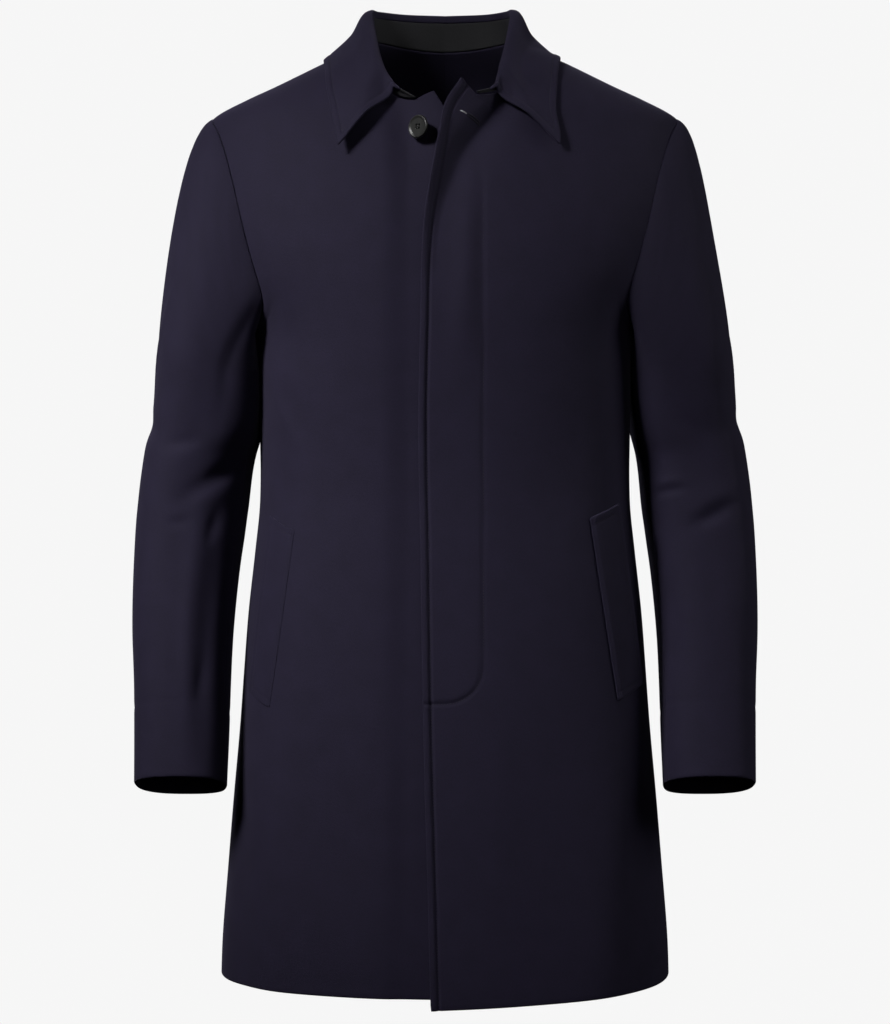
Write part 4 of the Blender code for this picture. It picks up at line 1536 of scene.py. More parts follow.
SLEEVE_CREASES = {
    Side.RIGHT: table(
        Crease,
        (118.0, -0.403, 28.0, 0.036, 0.0110, -0.0052),
        (98.0, -0.372, 30.0, 0.040, 0.0150, 0.0018),
        (128.0, -0.430, 24.0, 0.036, 0.0200, -0.0018),
        (20.0, -0.352, -12.0, 0.040, 0.0120, -0.0032),
        (74.0, -0.369, 2.0, 0.020, 0.0070, -0.0014),
        (83.0, -0.447, 4.0, 0.012, 0.0055, -0.0013),
        (120.0, -0.452, 80.0, 0.014, 0.0070, -0.0022),
        (101.0, -0.545, 88.0, 0.095, 0.0110, 0.0022),
        (122.0, -0.550, 88.0, 0.110, 0.0120, -0.0026),
        (117.0, -0.600, 84.0, 0.022, 0.0085, -0.0022),
        (60.0, -0.560, 80.0, 0.070, 0.0160, -0.0012),
        (23.0, -0.284, 73.0, 0.060, 0.0042, 0.0015),
        (16.0, -0.284, 73.0, 0.060, 0.0060, -0.0012),
        (172.0, -0.310, 90.0, 0.060, 0.0500, 0.0100),
        (113.0, -0.272, 84.0, 0.055, 0.0080, -0.0026),
        (141.0, -0.270, 88.0, 0.050, 0.0080, -0.0026),
        (-64.0, -0.396, -20.0, 0.050, 0.0120, -0.0050),
        (-88.0, -0.425, 14.0, 0.050, 0.0140, -0.0042),
        (-76.0, -0.455, 4.0, 0.050, 0.0140, 0.0030),
    ),
    Side.LEFT: table(
        Crease,
        (12.0, -0.150, 88.0, 0.100, 0.0500, -0.0052),
        (82.0, -0.440, -24.0, 0.026, 0.0075, -0.0036),
        (76.0, -0.422, -24.0, 0.026, 0.0100, 0.0014),
        (124.0, -0.416, -8.0, 0.016, 0.0042, -0.0022),
        (121.0, -0.407, -8.0, 0.014, 0.0050, 0.0014),
        (20.0, -0.348, -12.0, 0.040, 0.0120, -0.0030),
        (92.0, -0.350, 20.0, 0.024, 0.0110, -0.0012),
        (100.0, -0.520, 84.0, 0.080, 0.0140, 0.0014),
        (130.0, -0.570, 80.0, 0.060, 0.0120, -0.0018),
        (50.0, -0.560, 76.0, 0.060, 0.0160, -0.0014),
        (23.0, -0.284, 73.0, 0.060, 0.0042, 0.0015),
        (16.0, -0.284, 73.0, 0.060, 0.0060, -0.0012),
        (172.0, -0.280, 90.0, 0.052, 0.0500, 0.0100),
        (141.0, -0.272, 90.0, 0.060, 0.0085, -0.0034),
        (-60.0, -0.400, -22.0, 0.050, 0.0120, -0.0050),
        (-84.0, -0.372, -10.0, 0.050, 0.0140, 0.0034),
        (-90.0, -0.430, 16.0, 0.050, 0.0130, -0.0040),
    ),
}


@dataclass
class Sleeve:
    """Two-piece set-in sleeve.

    Its head runs on cubics from the armhole to the biceps ring, below which it is a row of tilted ovals,
    pushed clear of the body. It is worked out on the left and mirrored.
    """

    side: Side
    cap_share: float = 0.32
    cap_start_pull: float = 0.40
    cap_end_pull: float = 0.85
    arm_clearance: float = 0.0032
    softness: float = 0.0060
    low_gap: float = 0.0007
    start_shift: float = 0.0003
    cloth: float = 0.0022
    cuff_fold: float = 0.0036
    cuff_depth: float = 0.040
    cuff_mark: float = 0.073
    seam: float = 0.0010
    girth_radius: float = 0.062
    squareness: float = 2.6
    length: float = 0.62
    cap_rows: int = 80
    tube_rows: int = 139
    first_column: float = 0.0014
    cuff_groove: float = 0.0004
    armhole_groove: float = 0.0011

    def __post_init__(self) -> None:
        """Makes the curves of the rings and the seams."""
        self.centre = Curve(SLEEVE_RINGS, "along", "centre_x", "centre_y", "centre_z")
        self.half_width = Curve(SLEEVE_RINGS, "along", "half_width")
        self.half_depth = Curve(SLEEVE_RINGS, "along", "half_depth")
        self.hind = Curve(SLEEVE_SEAMS, "along", "hind")
        self.fore = Curve(SLEEVE_SEAMS, "along", "fore")

    def frame_at(self, along: Array) -> tuple[Array, Array, Array]:
        """Middle, outward and forward directions of the rings.

        Args:
            along: share of the length below the armhole.

        Returns:
            Middles and directions.
        """
        step = 0.01
        ahead = self.centre.at(np.minimum(along + step, 1.0))
        down = unit(ahead - self.centre.at(np.maximum(along - step, 0.0)))
        sideways = np.array([1.0, 0.0, 0.0]) + 0.0 * down
        outward = unit(sideways - down * np.sum(sideways * down, axis=-1, keepdims=True))
        return self.centre.at(along), outward, np.cross(down, outward)

    def pressed(self, points: Array, clearance: Number) -> Array:
        """Points moved out, softly, where they would come closer to the body's side than the clearance.

        Args:
            points: the points.
            clearance: least distance.

        Returns:
            The moved points.
        """
        clear = FORM.width_at(points[..., 1], points[..., 2]) + clearance
        across = points[..., 0]
        moved = 0.5 * (across + clear + np.sqrt((across - clear) ** 2 + self.softness**2))
        return np.concatenate([moved[..., None], points[..., 1:]], axis=-1)

    def tube(self, turn: Array, along: Array) -> Array:
        """Points below the armhole: ring middle plus width outwards plus depth forwards.

        Args:
            turn: turn round the ring.
            along: share of the length.

        Returns:
            Points.
        """
        centre, outward, forward = self.frame_at(along)
        size = box_size(turn, self.squareness)
        width = self.half_width.at(along) * np.cos(turn) * size
        depth = self.half_depth.at(along) * np.sin(turn) * size
        points = centre + width[..., None] * outward + depth[..., None] * forward
        return self.pressed(points, self.arm_clearance)

    def head(self, turn: Array, share: Array) -> Array:
        """Points of the sleeve's head: cubics that leave the armhole outwards and end along the arm.

        Args:
            turn: turn round the armhole.
            share: way to the biceps ring.

        Returns:
            Points.
        """
        start = FORM.point(*FORM.armhole(turn))
        end = self.tube(turn, 0.0 * turn)
        cosine = np.cos(turn)
        leave = unit(np.stack([0.78 + 0.18 * cosine, -0.30 * np.sin(turn), -0.55 + 0.21 * cosine], axis=-1))
        arrive = unit(self.tube(turn, 0.0 * turn + 0.04) - end)
        length = np.linalg.norm(end - start, axis=-1, keepdims=True)
        below = smooth_step(math.cos(math.radians(50.0)), math.cos(math.radians(120.0)), cosine)
        groove = self.armhole_groove * smooth_step(0.0, 0.25, np.sin(turn))
        gap = self.seam - 0.0004 + groove + self.low_gap * below
        start = start + self.seam_shift(turn, leave) + leave * gap[..., None]
        start[..., 0] -= self.start_shift
        pulls = (leave * length * self.cap_start_pull, arrive * length * self.cap_end_pull)
        return hermite(start, pulls[0], end, pulls[1], share[..., None])

    def seam_shift(self, turn: Array, leave: Array) -> Array:
        """Moves the head's edge so that its round rim meets the body's rim at the armhole.

        Both rims lie half a wall below their faces, so the edge moves by half a wall times the
        difference of the two normals, less so where the faces turn away from each other underneath.

        Args:
            turn: places round the armhole.
            leave: direction in which the head leaves it.

        Returns:
            Shift at each place.
        """
        step = 0.002
        tangent = FORM.point(*FORM.armhole(turn + step)) - FORM.point(*FORM.armhole(turn - step))
        outward = unit(np.cross(tangent, leave))
        body = FORM.normal(*FORM.armhole(turn))
        facing = np.sum(outward * body, axis=-1, keepdims=True)
        return (outward - body) * (self.cloth / 2.0) * smooth_step(-0.5, 0.4, facing)

    def creases(self, turn: Array, points: Array) -> Array:
        """Sum of the creases at the points, whose ways round are their turns times the mean radius.

        Args:
            turn: turns of the points.
            points: the points.

        Returns:
            Depths.
        """
        depth = np.zeros(points.shape[:-1])
        for crease in SLEEVE_CREASES[self.side]:
            away = (turn - math.radians(crease.place) + math.pi) % (2.0 * math.pi) - math.pi
            depth = depth + crease.at(away * self.girth_radius, points[..., 2] - crease.height)
        return depth

    def point(self, turn: Array, along: Array) -> Array:
        """Point of the sleeve: along 0 at the armhole, 1 at the cuff.

        Args:
            turn: turn round the sleeve.
            along: share of the length.

        Returns:
            Points.
        """
        head = self.head(turn, np.clip(along / self.cap_share, 0.0, 1.0))
        tube_along = np.clip((along - self.cap_share) / (1.0 - self.cap_share), 0.0, 1.0)
        points = np.where((along < self.cap_share)[..., None], head, self.tube(turn, tube_along))
        _, outward, forward = self.frame_at(tube_along)
        radial = outward * np.cos(turn)[..., None] + forward * np.sin(turn)[..., None]
        free = smooth_step(0.0, 0.3 * self.cap_share, along)
        points = points + radial * (free * self.creases(turn, points))[..., None]
        return self.pressed(points, self.arm_clearance * free - self.softness * (1.0 + 4.0 * (1.0 - free)))

    def grid(self, under: bool, columns: int) -> Array:
        """Grid of the top or the under sleeve between its two seams, set out by length along each row.

        Args:
            under: true for the under sleeve.
            columns: count of columns.

        Returns:
            Points.
        """
        head = self.cap_share * np.linspace(0.0, 1.0, self.cap_rows + 1) ** 1.15
        end = 1.0 - self.cuff_fold / 2.0 / self.length
        along = np.concatenate([head, np.linspace(self.cap_share, end, self.tube_rows + 1)[1:]])
        hind = np.radians(self.hind.at(along))
        fore = np.radians(self.fore.at(along))
        first, last = (fore, hind + 2.0 * math.pi) if under else (hind, fore)
        fine = np.linspace(0.0, 1.0, 121)
        turns = first[:, None] + (last - first)[:, None] * fine
        shares = along[:, None] + 0.0 * turns
        lengths = lengths_along(self.point(turns, shares), 1)
        ends = lengths[:, -1:] - self.seam
        inside = self.seam + (ends - self.seam) * np.linspace(0.0, 1.0, columns)[None, 1:-1]
        starts = np.full(ends.shape, self.seam)
        parts = [starts, starts + self.first_column, inside, ends - self.first_column, ends]
        at = np.concatenate(parts, axis=1)
        turns = interp_rows(at, lengths, turns)
        return self.point(turns, along[:, None] + 0.0 * turns)

    def build(self, under: bool, material: Material, cut: Cut) -> Piece:
        """Makes and dresses the top or the under sleeve.

        Args:
            under: true for the under sleeve.
            material: its cloth.
            cut: its flat cut; not used.

        Returns:
            The piece.
        """
        node = f"sleeve_{'under' if under else 'top'}_{self.side.word}"
        outer = self.grid(under, 66 if under else 58)
        normals = -grid_normals(outer)
        uv = grid_uv(outer)
        from_cuff = uv[..., 1] - uv[-1:, :, 1]
        fold = smooth_step(self.cuff_depth + 0.004, self.cuff_depth, from_cuff)
        wall = self.cloth + (self.cuff_fold - self.cloth) * fold
        inner = outer - normals * wall[..., None]
        outer = outer - normals * (self.cuff_groove * bell(from_cuff - self.cuff_mark, 0.003))[..., None]
        limit = np.full(wall.shape, self.cloth / 2.0)
        limit[-1] = self.cuff_fold
        piece = Shell(f"cloth_{node}", self.side.put(outer), self.side.put(inner), uv, limit).make()
        return dress(piece, material, node)


# Collar


@dataclass(frozen=True)
class CollarSection:
    """Section of the collar's left half at a turn round the neck, in degrees."""

    turn: float
    roll_x: float
    roll_y: float
    roll_z: float
    edge_x: float
    edge_z: float
    lift: float
    bulge: float
    face: Face


COLLAR_SECTIONS = table(
    CollarSection,
    (20.0, 0.0507, -0.1000, -0.0260, 0.1080, -0.0850, 0.0090, 0.0040, Face.FRONT),
    (35.0, 0.0550, -0.0890, -0.0145, 0.1100, -0.0640, 0.0080, 0.0030, Face.FRONT),
    (50.0, 0.0612, -0.0705, 0.0040, 0.1120, -0.0420, 0.0064, 0.0010, Face.FRONT),
    (75.0, 0.0690, -0.0320, 0.0405, 0.1150, -0.0090, 0.0042, -0.0010, Face.FRONT),
    (97.0, 0.0725, 0.0010, 0.0640, 0.1170, 0.0115, 0.0038, -0.0015, Face.FRONT),
    (118.0, 0.0668, 0.0290, 0.0685, 0.1030, 0.0090, 0.0040, 0.0005, Face.BACK),
    (148.0, 0.0400, 0.0540, 0.0700, 0.0600, 0.0068, 0.0044, 0.0020, Face.BACK),
    (180.0, 0.0000, 0.0620, 0.0700, 0.0000, 0.0060, 0.0046, 0.0030, Face.BACK),
)


@dataclass(frozen=True)
class LeafCorner:
    """Place of the leaf's edge at a turn."""

    turn: float
    x: float
    y: float
    z: float


@dataclass
class Collar:
    """Shirt collar: a stand round the neck and a leaf that folds over it and falls on the shoulders."""

    left: FrontPanel
    right: FrontPanel
    half_columns: int = 110
    stand_lift: float = 0.0024
    stand_wall: float = 0.0022
    leaf_wall: float = 0.0024
    fold_radius: float = 0.0032
    inside: float = 0.0050
    clearance: float = 0.0034
    right_point: tuple[float, float, float] = (-0.0075, -0.007, -0.002)
    right_bulge: float = 0.0020
    left_shift: float = -0.0070
    stitch_in: float = 0.0068
    stitch_sink: float = 0.0006
    groove: float = 0.0005
    edge_swell: float = 0.0003

    def __post_init__(self) -> None:
        """Works out the collar's three lines: neck seam, fold and leaf edge."""
        half = COLLAR_END + (math.pi - COLLAR_END) * np.linspace(0.0, 1.0, self.half_columns) ** 1.12
        self.turns = np.concatenate([-half, half[-2::-1]])
        self.bend = np.degrees(np.abs(self.turns))
        flip = np.ones((len(self.turns), 3))
        flip[:, 0] = np.where(self.turns < 0.0, -1.0, 1.0)
        self.neck = self.neck_line() * flip
        roll = Curve(COLLAR_SECTIONS, "turn", "roll_x", "roll_y", "roll_z")
        narrow = smooth_step(22.0, 48.0, self.bend) * smooth_step(150.0, 110.0, self.bend)
        shift = np.array([self.left_shift, 0.0, 0.0]) * np.where(self.turns > 0.0, narrow, 0.0)[:, None]
        self.roll = roll.at(self.bend) * flip + shift
        self.edge = self.edge_line() * flip + shift
        self.up = unit(self.roll - FORM.raised(*FORM.neckline(np.abs(self.turns)), 0.0) * flip)
        self.away = unit(np.cross(self.up, np.gradient(self.roll, axis=0)))

    def neck_line(self) -> Array:
        """Seam of the stand to the body, which follows the lifted fronts.

        Returns:
            Points.
        """
        angles, heights = FORM.neckline(np.abs(self.turns))
        across = FORM.point(angles, heights)[:, 0]
        lifts = (self.left.form_lift(across, heights), self.right.form_lift(across, heights))
        lift = np.where(self.turns > 0.0, *lifts)
        lift = np.where(self.bend < 100.0, lift, 0.0) + self.stand_lift * smooth_step(80.0, 45.0, self.bend)
        return FORM.raised(angles, heights, lift)

    def edge_line(self) -> Array:
        """Outer edge of the leaf, a little off the body, with the right point turned in and lifted.

        Returns:
            Points.
        """
        corners = []
        for row in COLLAR_SECTIONS:
            angle = FORM.angle_at_x(np.array(row.edge_x), np.array(row.edge_z), row.face)
            corners.append(LeafCorner(row.turn, *FORM.raised(angle, np.array(row.edge_z), row.lift)))
        edge = Curve(corners, "turn", "x", "y", "z").at(self.bend)
        right = np.where(self.turns < 0.0, smooth_step(70.0, 20.0, self.bend), 0.0)
        return edge + right[:, None] * np.array(self.right_point)

    def stand_grid(self) -> Array:
        """Outer face of the stand: straight from the neck seam to the seam below the fold.

        Returns:
            Points, rows from the neck seam up.
        """
        top = self.roll - self.up * (self.fold_radius + self.inside)
        rise = np.linalg.norm(top - self.neck, axis=-1)
        low = ((self.stand_wall / 2.0 + 0.0002) / rise)[None, :, None]
        high = ((self.stand_wall / 2.0 + 0.0001) / rise)[None, :, None]
        share = np.linspace(0.0, 1.0, 14)[:, None, None]
        return self.neck + (top - self.neck) * (low + (1.0 - low - high) * share)

    def leaf_grid(self) -> Array:
        """Face of the leaf: up the neck side of the stand, over a round fold and down to the edge.

        The fold is part of a circle about a middle just below the roll line, and a cubic through the
        sections carries the face on to the edge.

        Returns:
            Points, rows from the seam in the neck to the edge.
        """
        bulge = Curve(COLLAR_SECTIONS, "turn", "bulge").at(self.bend)
        right = np.where(self.turns < 0.0, self.right_bulge * smooth_step(70.0, 30.0, self.bend), 0.0)
        bulge = (bulge + right)[:, None]
        radius = self.fold_radius
        neck_face = self.away * self.stand_wall
        middle = self.roll - self.up * radius + self.away * (radius - self.stand_wall)
        turns = [math.radians(turn) for turn in (150.0, 118.0, 86.0, 50.0)]
        halfway = (self.roll + self.edge) / 2.0
        sections = [
            self.roll - self.up * (radius + self.inside - self.leaf_wall / 2.0) - neck_face,
            self.roll - self.up * (radius + 0.0015) - neck_face,
            *[middle + radius * (math.cos(turn) * self.away + math.sin(turn) * self.up) for turn in turns],
            halfway + unit(FORM.slope(halfway)) * bulge,
            self.edge,
        ]
        sections = np.stack(sections)
        steps = np.linalg.norm(np.diff(sections, axis=0), axis=-1).mean(axis=1)
        keys = np.concatenate([[0.0], np.cumsum(steps)])
        slopes = np.gradient(sections, keys, axis=0)
        at = graded((0.0, keys[5], keys[-1] - 0.012, keys[-1]), (0.0011, 0.0021, 0.0011))
        low = np.clip(np.searchsorted(keys, at, side="right") - 1, 0, len(keys) - 2)
        step = (keys[low + 1] - keys[low])[:, None, None]
        share = (at - keys[low])[:, None, None] / step
        leaf = hermite(sections[low], slopes[low] * step, sections[low + 1], slopes[low + 1] * step, share)
        start = int(np.searchsorted(at, keys[5]))
        leaf[start:] = FORM.clear(leaf[start:], self.clearance)
        return leaf

    def build_stand(self, material: Material) -> Piece:
        """Makes and dresses the stand.

        Args:
            material: its material.

        Returns:
            The piece.
        """
        outer = self.stand_grid()
        inner = outer - self.away[None] * self.stand_wall
        limit = np.full(outer.shape[:2], self.stand_wall)
        piece = Shell("cloth_collar_stand", outer, inner, grid_uv(outer), limit).make()
        return dress(piece, material, "collar_stand")

    def build_leaf(self, material: Material) -> Piece:
        """Makes and dresses the leaf, with a stitched groove along its free edges.

        Args:
            material: its material.

        Returns:
            The piece.
        """
        face = self.leaf_grid()
        normals = grid_normals(face)
        if np.sum(normals[-1] * self.away) < 0.0:
            normals = -normals
        self.leaf_face, self.leaf_normals = face, normals
        from_edge = self.free_edge_distance(face)
        lift = -self.groove * bell(from_edge - self.stitch_in, STITCH_GROOVE)
        lift = lift + self.edge_swell * smooth_step(self.stitch_in, 0.003, from_edge)
        outer = face + normals * lift[..., None]
        inner = face - normals * self.leaf_wall
        limit = np.full(lift.shape, self.leaf_wall)
        piece = Shell("cloth_collar_leaf", outer, inner, grid_uv(face), limit).make()
        return dress(piece, material, "collar_leaf")

    @staticmethod
    def free_edge_distance(face: Array) -> Array:
        """Distance of each point of the leaf from its outer edge or its nearer front edge."""
        down, along = lengths_along(face, 0), lengths_along(face, 1)
        return np.minimum(down[-1:] - down, np.minimum(along, along[:, -1:] - along))

    def stitch_paths(self) -> list[tuple[Array, Array]]:
        """Row of stitches inside the built leaf's free edges: down one front edge, round, and up the other.

        Returns:
            Points and normals of the row.
        """
        face, normals = self.leaf_face, self.leaf_normals
        down = lengths_along(face, 0)
        along = lengths_along(face, 1)
        rows, columns = face.shape[:2]
        wanted = np.full((columns, 1), self.stitch_in)
        from_edge = (down[-1:] - down)[::-1].T
        steps = np.tile(np.arange(rows, dtype=float), (columns, 1))
        row_at = rows - 1 - interp_rows(wanted, from_edge, steps)[:, 0]
        wanted = np.full((rows, 1), self.stitch_in)
        steps = np.tile(np.arange(columns, dtype=float), (rows, 1))
        first = interp_rows(wanted, along, steps)[:, 0]
        last = columns - 1 - interp_rows(wanted, (along[:, -1:] - along)[:, ::-1], steps)[:, 0]
        inside = (np.arange(columns) > first[-8]) & (np.arange(columns) < last[-8])
        top = int(rows * 0.30)
        stop = int(row_at[columns // 2]) - 1
        end_rows = np.arange(top, stop, dtype=float)
        round_edge = np.stack([row_at, np.arange(columns, dtype=float)], axis=-1)[inside]
        ends = [np.stack([end_rows, column[top:stop]], axis=-1) for column in (first, last)]
        places = np.concatenate([ends[0], round_edge, ends[1][::-1]])
        low = np.clip(np.floor(places).astype(int), 0, np.array([rows - 2, columns - 2]))
        share = (places - low)[..., None]
        both = np.concatenate([face, normals], axis=-1)
        row, column = low[:, 0], low[:, 1]
        first_row = both[row, column] * (1.0 - share[:, 1]) + both[row, column + 1] * share[:, 1]
        second_row = both[row + 1, column] * (1.0 - share[:, 1]) + both[row + 1, column + 1] * share[:, 1]
        path = first_row * (1.0 - share[:, 0]) + second_row * share[:, 0]
        return [(path[:, :3] - unit(path[:, 3:]) * self.stitch_sink, unit(path[:, 3:]))]


# Pockets


@dataclass(frozen=True)
class Welt:
    """Slanted pocket welt: line of its sewn edge, width round the body and rise towards the side."""

    side: Side
    top: tuple[float, float]
    bottom: tuple[float, float]
    width: float = 0.040
    rise: float = 0.014
    thick: float = 0.0030
    seat: float = 0.0005
    free_lift: float = 0.0022
    stitch_in: float = 0.0060
    stitch_sink: float = 0.0005
    groove_share: float = 0.2
    sewn_sink: float = 0.0012
    sewn_reach: float = 0.004

    def grid(self, front: FrontPanel) -> tuple[Array, Array]:
        """Points and normals of the welt's face, from its sewn edge to its free edge.

        Args:
            front: the front that carries it.

        Returns:
            Points and normals.
        """
        down = np.linspace(0.0, 1.0, 90)[:, None]
        out = np.linspace(0.0, 1.0, 26)[None, :]
        across = self.top[0] + (self.bottom[0] - self.top[0]) * down + 0.0 * out
        heights = self.top[1] + (self.bottom[1] - self.top[1]) * down + self.rise * out
        angles = FORM.angle_at_x(across, heights)
        step = 0.01
        ahead = FORM.point(angles + step, heights) - FORM.point(angles, heights)
        angles = angles - self.width * out * step / np.linalg.norm(ahead, axis=-1)
        across = FORM.point(angles, heights)[..., 0]
        stand = self.seat + self.thick + self.free_lift * smooth_step(0.25, 1.0, out)
        lift = front.dressed_lift(across, heights) + stand
        return FORM.raised(angles, heights, lift), FORM.normal(angles, heights)

    def build(self, front: FrontPanel, material: Material, cut: Cut) -> Piece:
        """Makes and dresses the welt on its front.

        Args:
            front: the front that carries it.
            material: its material.
            cut: its flat cut; not used.

        Returns:
            The piece.
        """
        face, normals = self.grid(front)
        down = lengths_along(face, 0)
        along = lengths_along(face, 1)
        ends = np.minimum(down, down[-1:] - down)
        inside = np.minimum(ends, along[:, -1:] - along)
        sunk = min(self.sewn_sink, 0.85 * self.thick) * smooth_step(self.sewn_reach, 0.0, along)
        groove = self.groove_share * self.thick * bell(inside - self.stitch_in, STITCH_GROOVE)
        lift = -groove - sunk
        outer = face + normals * lift[..., None]
        inner = face - normals * self.thick
        node = f"pocket_welt_{self.side.word}"
        limit = np.full(lift.shape, self.thick)
        shell = Shell(f"cloth_{node}", self.side.put(outer), self.side.put(inner), grid_uv(face), limit)
        return dress(shell.make(), material, node)

    def stitch_paths(self, front: FrontPanel) -> list[tuple[Array, Array]]:
        """Row of stitches inside the welt's two ends and its free edge.

        Args:
            front: the front that carries it.

        Returns:
            Points and normals of the row.
        """
        face, normals = self.grid(front)
        rows, columns = face.shape[:2]
        inset_row = round(self.stitch_in / (lengths_along(face, 0)[-1].mean() / (rows - 1)))
        inset_column = columns - 1 - round(self.stitch_in / (self.width / (columns - 1)))
        places = [(inset_row, column) for column in range(1, inset_column)]
        places += [(row, inset_column) for row in range(inset_row, rows - 1 - inset_row)]
        places += [(rows - 1 - inset_row, column) for column in range(inset_column, 0, -1)]
        row, column = np.array(places).T
        out = normals[row, column]
        return [(self.side.put(face[row, column] - out * self.stitch_sink), self.side.put(out))]


# Button, buttonhole and stitches


BAR_SIDES = 6
BAR_RINGS = ((0.0, 0.35, -0.6), (0.18, 0.95, 0.2), (0.5, 1.1, 0.55), (0.82, 0.95, 0.2), (1.0, 0.35, -0.6))


def capsules(starts: Array, ends: Array, normals: Array, radius: float) -> tuple[Array, Faces]:
    """Small rounded bars between pairs of points.

    Each bar is a ring profile carried along its line, thin at both ends and arched outwards in the middle.

    Args:
        starts: first ends, one row each.
        ends: second ends.
        normals: outward direction at each bar.
        radius: half thickness of a bar.

    Returns:
        Points and four-cornered faces.
    """
    along = unit(ends - starts)
    aside = unit(np.cross(normals, along))
    out = np.cross(along, aside)
    turns = (np.arange(BAR_SIDES) * 2.0 * math.pi / BAR_SIDES)[None, :, None]
    circle = aside[:, None] * np.cos(turns) + out[:, None] * np.sin(turns)
    rows = []
    for share, size, arch in BAR_RINGS:
        middle = starts + (ends - starts) * share + out * radius * arch
        rows.append(middle[:, None] + circle * radius * size)
    rings = np.arange(len(BAR_RINGS) * BAR_SIDES).reshape(-1, BAR_SIDES)
    ahead = np.roll(rings, -1, axis=1)
    sides = np.stack([rings[:-1], ahead[:-1], ahead[1:], rings[1:]], axis=-1).reshape(-1, 4)
    caps = (rings[0, [0, 5, 4, 3]], rings[0, [0, 3, 2, 1]], rings[-1, [0, 1, 2, 3]], rings[-1, [0, 3, 4, 5]])
    one = np.concatenate([sides, np.stack(caps)])
    faces = one[None] + rings.size * np.arange(len(starts))[:, None, None]
    return np.stack(rows, axis=1).reshape(-1, 3), faces.reshape(-1, 4)


def along_path(path: Array, at: Array) -> Array:
    """Points of a path at lengths along it."""
    lengths = lengths_along(path, 0)
    return np.stack([np.interp(at, lengths, path[:, axis]) for axis in range(path.shape[1])], axis=-1)


@dataclass(frozen=True)
class StitchRow:
    """Row of lockstitches along a path, each a small bar sunk a little into its groove."""

    name: str
    pitch: float = 0.0028
    length: float = 0.0021
    radius: float = 0.00030

    def build(self, paths: Sequence[tuple[Array, Array]], material: Material) -> Piece:
        """Makes one piece of all the rows, whose stitches lie one pitch apart.

        Args:
            paths: points and normals of each row.
            material: thread.

        Returns:
            The piece.
        """
        parts = []
        for path, normals in paths:
            marks = np.arange(max(2, int(lengths_along(path, 0)[-1] / self.pitch))) * self.pitch
            starts, ends = along_path(path, marks), along_path(path, marks + self.length)
            out = unit(along_path(np.concatenate([path, normals], axis=1), marks)[:, 3:])
            parts.append(capsules(starts, ends, out, self.radius))
        return dress(add_mesh(self.name, *joined(parts)), material)


